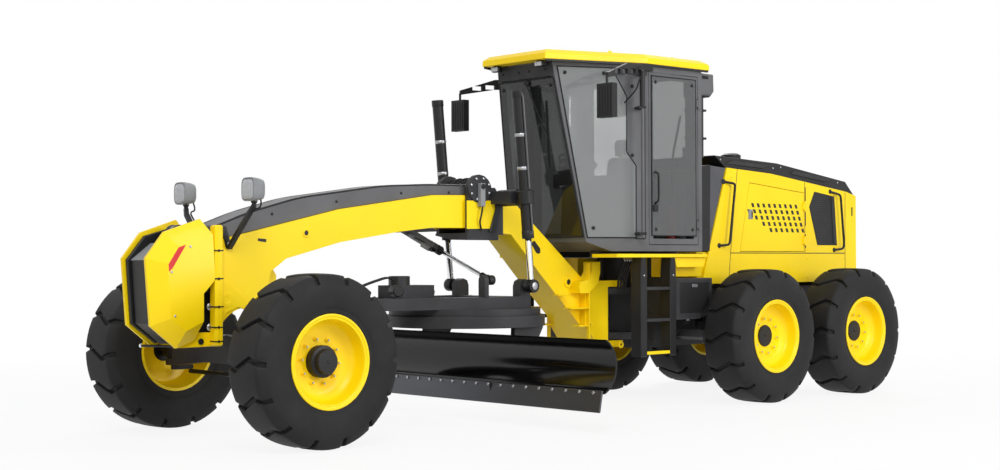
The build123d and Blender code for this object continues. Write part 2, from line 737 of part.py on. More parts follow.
def hinge_lugs(x, wall_y, side, heights):
    """Fixed side of a door's hinges: two lugs and a pin at each height, outside a wall."""
    with BuildPart() as lugs:
        for height in heights:
            low = height - hinge_length / 2 - fit_gap - hinge_lug
            for z in (low, height + hinge_length / 2 + fit_gap):
                with BuildSketch(Plane.XY.offset(z)):
                    with Locations((x, side * (wall_y + hinge_stand))):
                        RegularPolygon(hinge_barrel, small_sides)
                    with Locations((x - 15, side * (wall_y + (hinge_stand - 8) / 2))):
                        Rectangle(30, hinge_stand + 8)
                extrude(amount=hinge_lug)
            with BuildSketch(Plane.XY.offset(low)):
                with Locations((x, side * (wall_y + hinge_stand))):
                    Circle(hinge_pin)
            extrude(amount=hinge_length + 2 * (hinge_lug + fit_gap))
    return lugs.part


def hinge_barrels(x, wall_y, side, heights):
    """Moving side of a door's hinges: a barrel and its leaf at each height, bored for the pin."""
    with BuildPart() as barrels:
        for height in heights:
            with BuildSketch(Plane.XY.offset(height - hinge_length / 2)):
                with Locations((x, side * (wall_y + hinge_stand))):
                    RegularPolygon(hinge_barrel, small_sides)
                with Locations((x + 15, side * (wall_y + (hinge_stand - 8) / 2))):
                    Rectangle(30, hinge_stand + 8)
                with Locations((x, side * (wall_y + hinge_stand))):
                    RegularPolygon(hinge_pin + pin_clearance, small_sides, major_radius=False, mode=Mode.SUBTRACT)
            extrude(amount=hinge_length)
    return barrels.part


# ---------------------------------------------------------------- cab
cab_wall = 45
pillar_front = 373
cab_plan = [  # (ahead, half width) of the cab's walls
    (-3235, 373),
    (-4090, 772),
    (-4880, 810),
]
side_slope = (772 - 373) / (4090 - 3235)
cab_front_half_low = 373 + side_slope * (3545 - 3235)


def cab_outline(inset):
    """Closed plan of the cab, drawn in by inset all round."""
    with BuildSketch() as plan:
        with BuildLine():
            left = [(ahead(x), y) for x, y in cab_plan]
            Polyline(*left, *[(x, -y) for x, y in reversed(left)], close=True)
        make_face()
        if inset:
            offset(amount=-inset, kind=Kind.INTERSECTION)
    return plan.sketch


def cab_slice(inset, low, high):
    """Side view of the cab with its leaning front, drawn in by inset at the front and the rear."""
    lean = (3545 - 3235) / (cab_ceiling - cab_floor)
    with BuildSketch(Plane.XZ) as view:
        with BuildLine():
            Polyline(
                (ahead(-3770), low),
                (ahead(-3545 + lean * (low + 90 - cab_floor)) - inset, low + 90),
                (ahead(-3545 + lean * (high - cab_floor)) - inset, high),
                (cab_rear + inset, high),
                (cab_rear + inset, low),
                close=True,
            )
        make_face()
    return view.sketch


cab_hinge_x = ahead(-4822)
cab_hinge_wall = 772 + (810 - 772) / (4880 - 4090) * (4822 - 4090)
cab_hinge_heights = (cab_floor + 200, cab_ceiling - 334)
window_low = cab_floor + 110
window_high = cab_ceiling - 70
door_front, door_rear = ahead(-4135), ahead(-4825)
with BuildPart() as cab_frame:
    with BuildSketch(Plane.XY.offset(1500)):
        add(cab_outline(0))
    extrude(amount=cab_ceiling - 1500)
    extrude(cab_slice(0, 1500, cab_ceiling), amount=1000, both=True, mode=Mode.INTERSECT)
    with BuildPart(mode=Mode.PRIVATE) as hollow:
        with BuildSketch(Plane.XY.offset(cab_floor)):
            add(cab_outline(cab_wall))
        extrude(amount=cab_ceiling - cab_floor - 30)
        extrude(cab_slice(cab_wall, cab_floor, cab_ceiling), amount=1000, both=True, mode=Mode.INTERSECT)
    add(hollow.part, mode=Mode.SUBTRACT)
    # windscreen
    with BuildSketch(Plane.YZ.offset(ahead(-3640))):
        with BuildLine():
            Polyline((-cab_front_half_low + 75, window_low), (-pillar_front + 50, window_high),
                     (pillar_front - 50, window_high), (cab_front_half_low - 75, window_low), close=True)
        make_face()
    extrude(amount=600, mode=Mode.SUBTRACT)
    # door openings and rear window
    with BuildSketch(Plane.XZ):
        with Locations(((door_front + door_rear) / 2, (cab_floor + window_high) / 2)):
            Rectangle(door_front - door_rear, window_high - cab_floor)
    extrude(amount=1000, both=True, mode=Mode.SUBTRACT)
    with BuildSketch(Plane.YZ.offset(cab_rear - 20)):
        with Locations((0, (2300 + window_high) / 2)):
            Rectangle(1300, window_high - 2300)
    extrude(amount=120, mode=Mode.SUBTRACT)

    # quarter windows between the windscreen pillar and the door pillar
    for side in (1, -1):
        quarter = Plane(origin=(ahead(-3235), side * 373, cab_floor), x_dir=(-1, side * side_slope, 0),
                        z_dir=(side_slope, side, 0))
        run = hypot(4090 - 3235, 772 - 373)
        lead = run * (3545 - 3235) / (4090 - 3235)
        with BuildSketch(quarter.offset(-150)):
            with BuildLine():
                Polyline((lead + 50, side * 110), (run - 50, side * 110), (run - 50, side * (window_high - cab_floor)),
                         (60, side * (window_high - cab_floor)), close=True)
            make_face()
        extrude(amount=300, mode=Mode.SUBTRACT)

    for side in (1, -1):
        add(hinge_lugs(cab_hinge_x, cab_hinge_wall, side, cab_hinge_heights))

glass = 8
with BuildPart() as cab_glass:
    # windscreen, along the leaning front
    with BuildSketch(Plane.YZ.offset(ahead(-3640))):
        with BuildLine():
            Polyline((-cab_front_half_low + 75 + fit_gap, window_low + fit_gap),
                     (-pillar_front + 50 + fit_gap, window_high - fit_gap),
                     (pillar_front - 50 - fit_gap, window_high - fit_gap),
                     (cab_front_half_low - 75 - fit_gap, window_low + fit_gap), close=True)
        make_face()
    extrude(amount=600)
    with BuildSketch(Plane.XZ):
        with BuildLine():
            lean = (3545 - 3235) / (cab_ceiling - cab_floor)
            Polyline(
                (ahead(-3545 + lean * (window_low - cab_floor)) - 14, window_low),
                (ahead(-3545 + lean * (window_high - cab_floor)) - 14, window_high),
                (ahead(-3545 + lean * (window_high - cab_floor)) - 14 - glass, window_high),
                (ahead(-3545 + lean * (window_low - cab_floor)) - 14 - glass, window_low),
                close=True,
            )
        make_face()
    extrude(amount=1000, both=True, mode=Mode.INTERSECT)
    with BuildSketch(Plane.YZ.offset(cab_rear + 12)):
        with Locations((0, (2300 + window_high) / 2)):
            Rectangle(1300 - 2 * fit_gap, window_high - 2300 - 2 * fit_gap)
    extrude(amount=glass)
    for side in (1, -1):
        quarter = Plane(origin=(ahead(-3235), side * 373, cab_floor), x_dir=(-1, side * side_slope, 0),
                        z_dir=(side_slope, side, 0))
        with BuildSketch(quarter.offset(-20)):
            with BuildLine():
                Polyline((lead + 50.5, side * 110.5), (run - 50.5, side * 110.5),
                         (run - 50.5, side * (window_high - cab_floor - 0.5)),
                         (60.8, side * (window_high - cab_floor - 0.5)), close=True)
            make_face()
        extrude(amount=glass)

# doors, hung on the rear pillars
door_gap = 6
door_rail = 55
door_thickness = 34
door_slope = (810 - 772) / (4880 - 4090)
door_y = 772 + door_slope * (4135 - 4090)
for name, side in (("left", 1), ("right", -1)):
    door_plane = Plane(origin=(door_front - door_gap, side * door_y, cab_floor + door_gap),
                       x_dir=(-1, side * door_slope, 0), z_dir=(door_slope, side, 0))
    door_width = (door_front - door_rear - 2 * door_gap) * hypot(1, door_slope)
    door_height = window_high - cab_floor - 2 * door_gap
    with BuildPart() as cab_door:
        with BuildSketch(door_plane.offset(-door_thickness)):
            with Locations((door_width / 2, side * door_height / 2)):
                Rectangle(door_width, door_height)
                Rectangle(door_width - 2 * door_rail, door_height - 2 * door_rail, mode=Mode.SUBTRACT)
        extrude(amount=door_thickness)
        add(hinge_barrels(cab_hinge_x, cab_hinge_wall, side, cab_hinge_heights))
    cab_door.part.label = f"cab_door_{name}"
    export_step(cab_door.part, f"parts/cab_door_{name}.step")
    with BuildPart() as door_glass:
        with BuildSketch(door_plane.offset(-door_thickness / 2)):
            with Locations((door_width / 2, side * door_height / 2)):
                Rectangle(door_width - 2 * door_rail - 2 * fit_gap, door_height - 2 * door_rail - 2 * fit_gap)
        extrude(amount=glass)
    door_glass.part.label = f"door_glass_{name}"
    export_step(door_glass.part, f"parts/door_glass_{name}.step")

roof_over = 35
with BuildPart() as cab_roof:
    with BuildSketch(Plane.XY.offset(cab_ceiling + fit_gap)):
        with BuildLine():
            Polyline((ahead(-3090), 430), (ahead(-4090), 772 + roof_over), (ahead(-4960), 810 + roof_over),
                     (ahead(-4960), -810 - roof_over), (ahead(-4090), -772 - roof_over), (ahead(-3090), -430),
                     close=True)
        make_face()
    extrude(amount=55)
    with BuildSketch(Plane.XY.offset(cab_ceiling + fit_gap + 55)):
        with BuildLine():
            Polyline((ahead(-3090), 430), (ahead(-4090), 772 + roof_over), (ahead(-4960), 810 + roof_over),
                     (ahead(-4960), -810 - roof_over), (ahead(-4090), -772 - roof_over), (ahead(-3090), -430),
                     close=True)
        make_face()
    extrude(amount=40, taper=55)

with BuildPart() as seat:
    with BuildSketch(Plane.XY.offset(cab_floor + fit_gap)):
        with Locations((ahead(-4420), 0)):
            Rectangle(320, 320)
    extrude(amount=330)
    with BuildSketch(Plane.XY.offset(cab_floor + 330)):
        with Locations((ahead(-4400), 0)):
            Rectangle(500, 500)
    extrude(amount=120)
    with BuildSketch(Plane.YZ.offset(ahead(-4700))):
        with Locations((0, cab_floor + 760)):
            Rectangle(480, 640)
    extrude(amount=120)

with BuildPart() as console:
    with BuildSketch(Plane.XZ.offset(-90)):
        with BuildLine():
            Polyline((ahead(-3780), cab_floor + fit_gap), (ahead(-3940), cab_floor + fit_gap),
                     (ahead(-4000), 2330), (ahead(-3910), 2400), (ahead(-3810), 2300), close=True)
        make_face()
    extrude(amount=180)
    with BuildSketch(Plane.XY.offset(2385)):
        with Locations((ahead(-3960), 0)):
            RegularPolygon(200, 2 * round_sides)
    extrude(amount=25)

# ---------------------------------------------------------------- deck, steps and side boxes
with BuildPart() as platform:
    for side in (1, -1):
        with BuildSketch(Plane.XY.offset(1440)):
            with Locations((ahead(-4300), side * (carrier_out + fit_gap + 830) / 2)):
                Rectangle(1290, 830 - carrier_out - fit_gap)
        extrude(amount=35)
        # ladder: two side plates and three treads
        for x in (-4000, -4420):
            with BuildSketch(Plane.XZ.offset(-side * 700)):
                with Locations((ahead(x), 970)):
                    Rectangle(90, 940)
            extrude(amount=-side * 130)
        for z in (520, 830, 1130):
            with BuildSketch(Plane.XY.offset(z)):
                with Locations((ahead(-4210), side * 765)):
                    Rectangle(340, 120)
            extrude(amount=30)
    # boxes ahead of the middle wheels
        with BuildSketch(Plane.XZ.offset(-side * (rail_out + fit_gap))):
            with BuildLine():
                Polyline((ahead(-4480), 840), (ahead(-4480), 1240), (ahead(-5020), 1240), (ahead(-5020), 980),
                         (ahead(-4840), 840), close=True)
            make_face()
        extrude(amount=-side * 440)

# ---------------------------------------------------------------- hood
hood_wall = 24
hood_side = [  # (ahead, height)
    (-5127, 1175),
    (-5534, 2359),
    (-6268, 2324),
    (-7631, 2172),
    (-7824, 2129),
    (-7824, 1175),
]
engine_door = [  # (ahead, height)
    (-5740, 1500),
    (-5900, 2220),
    (-6850, 2140),
    (-6850, 1500),
]
hood_hinge_x = ahead(-6847)
hood_hinge_heights = (1620, 1990)
with BuildPart() as hood_shell:
    with BuildSketch(Plane.XZ):
        with BuildLine():
            Polyline(*[(ahead(x), z) for x, z in hood_side], close=True)
        make_face()
    extrude(amount=hood_half, both=True)
    with BuildSketch(Plane.XZ):
        with BuildLine():
            Polyline(*[(ahead(x), z) for x, z in hood_side], close=True)
        make_face()
        offset(amount=-hood_wall, kind=Kind.INTERSECTION)
    extrude(amount=hood_half - hood_wall, both=True, mode=Mode.SUBTRACT)
    with BuildSketch(Plane.XZ):
        with BuildLine():
            Polyline(*[(ahead(x), z) for x, z in engine_door], close=True)
        make_face()
    extrude(amount=hood_half + 10, both=True, mode=Mode.SUBTRACT)
    with BuildSketch(Plane.XY.offset(1100)):
        with Locations((ahead(-6480), 0)):
            Rectangle(2500, 2 * (hood_half - hood_wall))
    extrude(amount=120, mode=Mode.SUBTRACT)
    for side in (1, -1):
        add(hinge_lugs(hood_hinge_x, hood_half, side, hood_hinge_heights))

for name, side in (("left", 1), ("right", -1)):
    with BuildPart() as hood_door:
        with BuildSketch(Plane.XZ.offset(-side * (hood_half - hood_wall))):
            with BuildLine():
                Polyline(*[(ahead(x), z) for x, z in engine_door], close=True)
            make_face()
            offset(amount=-door_gap, kind=Kind.INTERSECTION)
        extrude(amount=-side * hood_wall)
        add(hinge_barrels(hood_hinge_x, hood_half, side, hood_hinge_heights))
    hood_door.part.label = f"hood_door_{name}"
    export_step(hood_door.part, f"parts/hood_door_{name}.step")

with BuildPart() as hood_top:
    with BuildSketch(Plane.XZ):
        with BuildLine():
            Polyline((ahead(-5534), 2359 + fit_gap), (ahead(-5350), 2480), (ahead(-6400), 2440), (ahead(-7650), 2285),
                     (ahead(-7824), 2129 + fit_gap), (ahead(-7631), 2172 + fit_gap), (ahead(-6268), 2324 + fit_gap),
                     close=True)
        make_face()
    extrude(amount=hood_half - 20, both=True)

with BuildPart() as engine:
    with BuildSketch(Plane.XZ):
        with Locations((ahead(-6300), 1480)):
            Rectangle(1400, 2 * (1480 - rail_high - fit_gap))
    extrude(amount=rail_in + 30, both=True)

with BuildPart() as rear_panel:
    with BuildSketch(Plane.YZ.offset(ahead(-7824) - fit_gap)):
        with Locations((0, 1700)):
            Rectangle(1060, 760)
    extrude(amount=-40)
    with BuildSketch(Plane.XY.offset(980)):
        with Locations((ahead(-7830), 0)):
            Rectangle(98, 1160)
    extrude(amount=hood_base - fit_gap - 980)

mirror_root = (-4060, 800, cab_ceiling - 69)  # (ahead, half width, height) of the arm's seat on the cab
mirror_tip = (-3310, 1005, cab_ceiling - 184)
with BuildPart() as mirrors:
    for side in (1, -1):
        arm_run = hypot(mirror_tip[0] - mirror_root[0], mirror_tip[1] - mirror_root[1])
        arm_drop = mirror_root[2] - mirror_tip[2]
        arm_plane = Plane(
            origin=(ahead(mirror_root[0]), side * mirror_root[1], mirror_root[2]),
            x_dir=(mirror_tip[0] - mirror_root[0], side * (mirror_tip[1] - mirror_root[1]), 0),
            z_dir=(side * (mirror_tip[1] - mirror_root[1]), mirror_root[0] - mirror_tip[0], 0),
        )
        with BuildSketch(arm_plane.offset(-15)):
            with BuildLine():
                Polyline((0, 50), (arm_run * 0.5, 30), (arm_run, 20 - arm_drop), (arm_run, -25 - arm_drop),
                         (arm_run * 0.5, -70), (0, -50), close=True)
            make_face()
            for reach in (0.15, 0.36, 0.57, 0.76):
                with Locations((arm_run * reach, -arm_drop * reach * 0.75)):
                    Rectangle(arm_run * 0.14, 44, mode=Mode.SUBTRACT)
        extrude(amount=30)
        # pad between the arm and the cab's side, above the door
        with BuildSketch(Plane.XY.offset(cab_ceiling - 70)):
            with Locations((ahead(-4095), side * (775.2 + 822) / 2)):
                Rectangle(110, 822 - 775.2)
        extrude(amount=60)
        with BuildSketch(Plane.XY.offset(cab_ceiling - 574)):
            with Locations((ahead(mirror_tip[0]), side * mirror_tip[1])):
                Rectangle(70, 190)
        extrude(amount=310)
        with BuildSketch(Plane.XY.offset(cab_ceiling - 284)):
            with Locations((ahead(mirror_tip[0]), side * mirror_tip[1])):
                RegularPolygon(12, small_sides)
        extrude(amount=90)

for name, piece in (
    ("front_frame", front_frame),
    ("beam_cap", beam_cap),
    ("nose_cowl", nose_cowl),
    ("nose_core", nose_core),
    ("head_lamps", head_lamps),
    ("front_axle", front_axle),
    ("tie_rod", tie_rod),
    ("drawbar", drawbar),
    ("circle", circle),
    ("blade_carrier", blade_carrier),
    ("mouldboard", mouldboard),
    ("cutting_edge", cutting_edge),
    ("saddle", saddle),
    ("swing_barrel", swing_barrel),
    ("swing_rod", swing_rod),
    ("rear_frame", rear_frame),
    ("rear_axle", rear_axle),
    ("tandem_cases", tandem_cases),
    ("cab_frame", cab_frame),
    ("cab_glass", cab_glass),
    ("cab_roof", cab_roof),
    ("seat", seat),
    ("console", console),
    ("platform", platform),
    ("hood_shell", hood_shell),
    ("hood_top", hood_top),
    ("engine", engine),
    ("rear_panel", rear_panel),
    ("mirrors", mirrors),
):
    piece.part.label = name
    export_step(piece.part, f"parts/{name}.step")
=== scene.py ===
"""Dresses a motor grader: finishes, tyres, rims, glass, lamps, grilles, hoses and trim around its frame.

Metres, in the frame's own axes: +X forward, +Y the driver's left, +Z up.
"""

import json
import math

import bmesh
import bpy
import numpy as np
from bpy.props import FloatProperty, FloatVectorProperty, IntProperty, PointerProperty
from mathutils import Matrix, Vector


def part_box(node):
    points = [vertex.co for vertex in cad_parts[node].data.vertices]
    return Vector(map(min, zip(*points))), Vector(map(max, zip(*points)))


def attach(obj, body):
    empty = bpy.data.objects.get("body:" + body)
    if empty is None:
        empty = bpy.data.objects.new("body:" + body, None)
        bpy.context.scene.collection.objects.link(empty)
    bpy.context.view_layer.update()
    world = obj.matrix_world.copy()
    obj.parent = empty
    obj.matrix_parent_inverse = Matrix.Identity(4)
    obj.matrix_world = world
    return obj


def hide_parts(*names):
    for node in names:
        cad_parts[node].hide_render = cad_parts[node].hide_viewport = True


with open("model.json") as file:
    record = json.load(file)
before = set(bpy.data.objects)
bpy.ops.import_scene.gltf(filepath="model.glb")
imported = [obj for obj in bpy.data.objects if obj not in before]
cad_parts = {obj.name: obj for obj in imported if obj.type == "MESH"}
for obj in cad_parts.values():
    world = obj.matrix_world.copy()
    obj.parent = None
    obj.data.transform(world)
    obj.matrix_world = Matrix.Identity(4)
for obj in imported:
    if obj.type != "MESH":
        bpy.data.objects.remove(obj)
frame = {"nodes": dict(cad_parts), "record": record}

bl_info = {
    "name": "Motor Grader Finishes",
    "version": (1, 0, 0),
    "blender": (4, 5, 0),
    "location": "View3D > Sidebar > Grader",
    "description": "Builds the tyres, cab trim, lamps, hoses and finishes of a motor grader",
    "category": "Object",
}

SIDES = (1, -1)  # the driver's left, then right
HANDS = (("left", 1), ("right", -1))
FORWARD, LEFT, UP = (1, 0, 0), (0, 1, 0), (0, 0, 1)

# ------------------------------------------------------------------ places read from the frame
WHEELS = ("front_left", "front_right", "mid_left", "mid_right", "rear_left", "rear_right")
NODE_BODY = {n: b for b, members in frame["record"]["behaviour"]["bodies"].items() for n in members}


def centre_of(node):
    """Middle of a node's box."""
    low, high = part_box(node)
    return (low + high) / 2


AXLE_X = centre_of("tyre_front_left").x  # front axle


def ahead(distance):
    """Frame X of a place so far ahead of the front axle, negative behind it."""
    return AXLE_X + distance


def at(distance, y, z):
    """A place from its distance ahead of the front axle, its distance to the left and its height."""
    return np.array([ahead(distance), y, z], float)


def stations(outline):
    """Outline whose (distance ahead of the front axle, second measure) points become frame places."""
    return [(ahead(distance), second) for distance, second in outline]


# ------------------------------------------------------------------ colours and shader nodes
def linear(value):
    """A colour written as sRGB hex, as the linear RGBA that shaders take."""
    channels = np.array([int(value[i : i + 2], 16) for i in (1, 3, 5)]) / 255
    low = channels / 12.92
    high = ((channels + 0.055) / 1.055) ** 2.4
    return (*np.where(channels <= 0.04045, low, high).tolist(), 1.0)


def add_node(tree, kind, inputs=None, **settings):
    """Adds a node, sets its own settings, and gives each named input a value or a link."""
    node = tree.nodes.new(kind)
    for name, value in settings.items():
        setattr(node, name, value)
    for name, value in (inputs or {}).items():
        if isinstance(value, bpy.types.NodeSocket):
            tree.links.new(value, node.inputs[name])
        else:
            node.inputs[name].default_value = value
    return node


def new_finish(name):
    """An empty node material with its coordinates node, as (material, tree, object coordinates)."""
    material = bpy.data.materials.new(name)
    material.use_nodes = True
    tree = material.node_tree
    tree.nodes.clear()
    place = add_node(tree, "ShaderNodeTexCoord")
    return material, tree, place.outputs["Object"]


def grain(tree, coords, millimetres, detail=3.0, roughness=0.5):
    """Noise whose features are so many millimetres across."""
    return add_node(
        tree,
        "ShaderNodeTexNoise",
        {"Vector": coords, "Scale": 1000 / millimetres, "Detail": detail, "Roughness": roughness},
    ).outputs["Fac"]


def ramp(tree, factor, stops):
    """Colour ramp through (position, hex colour) stops."""
    node = add_node(tree, "ShaderNodeValToRGB", {"Fac": factor})
    elements = node.color_ramp.elements
    while len(elements) < len(stops):
        elements.new(0.5)
    for element, (position, colour) in zip(elements, stops):
        element.position = position
        element.color = linear(colour)
    return node.outputs["Color"]


def span(tree, factor, low, high):
    """Maps 0..1 to low..high."""
    return add_node(
        tree, "ShaderNodeMapRange", {"Value": factor, "To Min": low, "To Max": high}
    ).outputs["Result"]


def bump(tree, height, depth_mm, strength=1.0):
    """Normal from a height, in millimetres."""
    return add_node(
        tree, "ShaderNodeBump", {"Height": height, "Distance": depth_mm / 1000, "Strength": strength}
    ).outputs["Normal"]


def finish_surface(tree, inputs):
    """Principled shader and output."""
    shader = add_node(tree, "ShaderNodeBsdfPrincipled", inputs)
    add_node(tree, "ShaderNodeOutputMaterial", {"Surface": shader.outputs["BSDF"]})


def enamel(name, light, dark, rough_low, rough_high, coat, peel_mm=14.0, peel_depth=0.25):
    """Sprayed enamel on steel: a thick coat that levels to a faint orange peel and keeps soft tone changes.

    Real orange peel is 2 to 4 mm across; it is drawn coarser so that it shows at this size.
    """
    material, tree, coords = new_finish(name)
    cloud = grain(tree, coords, 700, 2)
    peel = grain(tree, coords, peel_mm, 2)
    dust = grain(tree, coords, 160, 5, 0.62)
    finish_surface(
        tree,
        {
            "Base Color": ramp(tree, cloud, [(0.3, dark), (0.7, light)]),
            "Roughness": span(tree, dust, rough_low, rough_high),
            "Specular IOR Level": 0.3,
            "Coat Weight": coat,
            "Coat Roughness": 0.12,
            "Normal": bump(tree, peel, peel_depth),
        },
    )
    return material


def textured_paint(name, light, dark, rough_low, rough_high, grit_mm=5.0, depth=0.25):
    """Powder coat on brackets and castings: matt, with a fine pebbled skin."""
    material, tree, coords = new_finish(name)
    grit = grain(tree, coords, grit_mm, 3, 0.6)
    cloud = grain(tree, coords, 300, 3)
    finish_surface(
        tree,
        {
            "Base Color": ramp(tree, cloud, [(0.3, dark), (0.7, light)]),
            "Roughness": span(tree, grit, rough_low, rough_high),
            "Specular IOR Level": 0.3,
            "Normal": bump(tree, grit, depth),
        },
    )
    return material


def bare_metal(name, colour, rough_low, rough_high, streak=(1, 1, 1), mm=30.0):
    """Machined or plated steel: bright, with fine tool marks stretched along its travel."""
    material, tree, coords = new_finish(name)
    stretched = add_node(tree, "ShaderNodeMapping", {"Vector": coords, "Scale": streak})
    marks = grain(tree, stretched.outputs["Vector"], mm, 4, 0.65)
    finish_surface(
        tree,
        {
            "Base Color": linear(colour),
            "Metallic": 1.0,
            "Roughness": span(tree, marks, rough_low, rough_high),
            "Normal": bump(tree, marks, 0.03),
        },
    )
    return material


def tyre_rubber():
    """Moulded natural rubber: near-black, greying slightly where the moulding skin is rough."""
    material, tree, coords = new_finish("moulded_tyre_rubber")
    bloom = grain(tree, coords, 240, 4, 0.6)
    pores = grain(tree, coords, 9, 4, 0.7)
    finish_surface(
        tree,
        {
            "Base Color": ramp(tree, bloom, [(0.3, "#19191A"), (0.72, "#232324")]),
            "Roughness": span(tree, pores, 0.55, 0.75),
            "Specular IOR Level": 0.25,
            "Normal": bump(tree, pores, 0.5),
        },
    )
    return material


def window_glass(name, colour, clear):
    """Tempered safety glass: clear in part, hazed grey in part, with a sharp reflection. A pane's grey and
    its hazed share stand in for the light that pane shows: a darker grey is painted shade, a paler haze is a
    painted reflection.
    """
    material, tree, coords = new_finish(name)
    film = grain(tree, coords, 900, 2)
    finish_surface(
        tree,
        {
            "Base Color": linear(colour),
            "Roughness": span(tree, film, 0.0, 0.006),
            "Transmission Weight": clear,
            "IOR": 1.45,
        },
    )
    return material


def moulded_plastic(name, light, dark, rough=(0.42, 0.6)):
    """Injection-moulded ABS with a spark-eroded grain."""
    return textured_paint(name, light, dark, *rough, grit_mm=4.0, depth=0.12)


def seat_cloth():
    """Woven polyester seat cover: two thread directions, drawn at 6 mm so that they show."""
    material, tree, coords = new_finish("woven_seat_cloth")
    across = add_node(tree, "ShaderNodeMapping", {"Vector": coords, "Rotation": (0.6, 0.5, 0.7)})
    warp = add_node(tree, "ShaderNodeTexWave", {"Vector": coords, "Scale": 52.0, "Distortion": 0.4})
    weft = add_node(
        tree, "ShaderNodeTexWave", {"Vector": across.outputs["Vector"], "Scale": 52.0, "Distortion": 0.4}
    )
    weave = add_node(
        tree, "ShaderNodeMath", {0: warp.outputs["Fac"], 1: weft.outputs["Fac"]}, operation="MULTIPLY",
    )
    finish_surface(
        tree,
        {
            "Base Color": ramp(tree, weave.outputs["Value"], [(0.1, "#1B1C1E"), (0.8, "#34363A")]),
            "Roughness": 0.9,
            "Sheen Weight": 0.3,
            "Normal": bump(tree, weave.outputs["Value"], 0.8),
        },
    )
    return material


def lamp_lens(name, colour, transmission):
    """Fluted polycarbonate lens: ribs 8 mm apart over a bright body."""
    material, tree, coords = new_finish(name)
    flutes = add_node(tree, "ShaderNodeTexWave", {"Vector": coords, "Scale": 38.0, "Distortion": 0.0})
    finish_surface(
        tree,
        {
            "Base Color": linear(colour),
            "Roughness": 0.08,
            "Transmission Weight": transmission,
            "IOR": 1.49,
            "Normal": bump(tree, flutes.outputs["Fac"], 1.2),
        },
    )
    return material


FINISHES = {}


def make_finishes(paint):
    """Every finish on the machine, by name."""
    yellow = "#" + "".join(f"{round(c * 255):02X}" for c in paint.body)
    FINISHES.update(
        yellow=enamel("yellow_enamel", yellow, "#FBD400", 0.36, 0.52, 0.12),
        charcoal=textured_paint("charcoal_powder_coat", "#353537", "#272729", 0.42, 0.62),
        gloss=enamel("glossy_blade_enamel", "#0B0B0C", "#070708", 0.1, 0.2, 0.1, 40.0, 0.1),
        slate=textured_paint("slate_panel_paint", "#56565A", "#4C4C50", 0.4, 0.55, 6.0, 0.1),
        grey=textured_paint("grey_cab_paint", "#616163", "#565658", 0.34, 0.5, 6.0, 0.12),
        satin=textured_paint("satin_black_paint", "#202021", "#171718", 0.34, 0.5),
        chrome=bare_metal("hard_chrome_plate", "#E4E5E8", 0.06, 0.16, (1, 1, 0.1)),
        steel=bare_metal("zinc_plated_steel", "#A9AAAD", 0.28, 0.5),
        edge=bare_metal("rolled_edge_steel", "#5B5C60", 0.3, 0.5, (1, 0.1, 1), 60.0),
        rubber=tyre_rubber(),
        glass=window_glass("clear_safety_glass", "#D5D8D7", 1.0),
        # the windscreen, side and door panes are copies of one grey glass: the windscreen's darker grey is
        # painted shade, and the paler grey haze on the side and door panes is a painted reflection
        dark_glass=window_glass("windscreen_glass_painted_shade", "#6A6C6C", 0.93),
        side_glass=window_glass("side_glass_painted_reflection", "#B4B7B6", 0.62),
        door_glass=window_glass("door_glass_painted_reflection", "#8B8D8D", 0.72),
        mirror=bare_metal("silvered_mirror", "#E8EAEC", 0.0, 0.03),
        plastic=moulded_plastic("black_abs", "#1D1D1F", "#151516"),
        pale_plastic=moulded_plastic("grey_abs", "#8D8F90", "#7D7F80"),
        cloth=seat_cloth(),
        lens=lamp_lens("clear_lamp_lens", "#F2F5F7", 0.6),
        red=lamp_lens("red_reflector", "#E2231A", 0.1),
        amber=lamp_lens("amber_lens", "#F08A12", 0.2),
    )


# ------------------------------------------------------------------ surfaces
def signed_volume(points, faces):
    """Volume that faces, each an array of as many corners, enclose as seen from outside."""
    corners = (points - points.mean(0))[faces]
    return float(np.einsum("fki,fi->", np.cross(corners[:, 1:-1], corners[:, 2:]), corners[:, 0]))


def skin(rings, closed=False):
    """Surface over rings of points shaped (rings, points, 3), as (points, face arrays).

    Each ring is a closed loop. The last ring joins the first when closed, and otherwise both ends get a
    cap. Faces turn outward: where the enclosed volume comes out negative they are reversed.
    """
    rings = np.asarray(rings, float)
    count, size = rings.shape[:2]
    row = np.arange(count if closed else count - 1)
    a = row[:, None] * size + np.arange(size)[None]
    b = row[:, None] * size + (np.arange(size)[None] + 1) % size
    c = (row[:, None] + 1) % count * size + (np.arange(size)[None] + 1) % size
    d = (row[:, None] + 1) % count * size + np.arange(size)[None]
    groups = [np.stack([a, b, c, d], -1).reshape(-1, 4)]
    if not closed:
        groups += [np.arange(size)[None, ::-1], np.arange((count - 1) * size, count * size)[None]]
    points = rings.reshape(-1, 3)
    if sum(signed_volume(points, group) for group in groups) < 0:
        groups = [group[:, ::-1] for group in groups]
    return points, groups


class Shell:
    """Collects closed surfaces, each with its finish, into one piece that rides on a body."""

    def __init__(self, name, body, slot=None):
        """Starts an empty piece for a body. The material slot it is given is not used."""
        self.name, self.body, self.slot = name, body, slot
        self.points, self.faces, self.which, self.finishes = [], [], [], []
        self.count = 0

    def add(self, surface, finish):
        """Adds a surface made by skin() in a finish."""
        points, groups = surface
        if finish not in self.finishes:
            self.finishes.append(finish)
        self.points.append(points)
        for group in groups:
            self.faces.extend((group + self.count).tolist())
            self.which.extend([self.finishes.index(finish)] * len(group))
        self.count += len(points)
        return self

    def build(self, smooth=35.0, bevel=0.0, replaces=(), segments=2):
        """Makes the mesh object, shades it smooth below an angle in degrees, and seats it on its body."""
        mesh = bpy.data.meshes.new(self.name)
        mesh.from_pydata(np.vstack(self.points).tolist(), [], self.faces)
        for finish in self.finishes:
            mesh.materials.append(FINISHES[finish])
        mesh.polygons.foreach_set("material_index", self.which)
        mesh.shade_smooth()
        mesh.set_sharp_from_angle(angle=math.radians(smooth))
        piece = bpy.data.objects.new(self.name, mesh)
        bpy.context.scene.collection.objects.link(piece)
        if bevel:
            soften(piece, bevel, segments)
        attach(piece, self.body)
        if replaces:
            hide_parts(*replaces)
        return piece


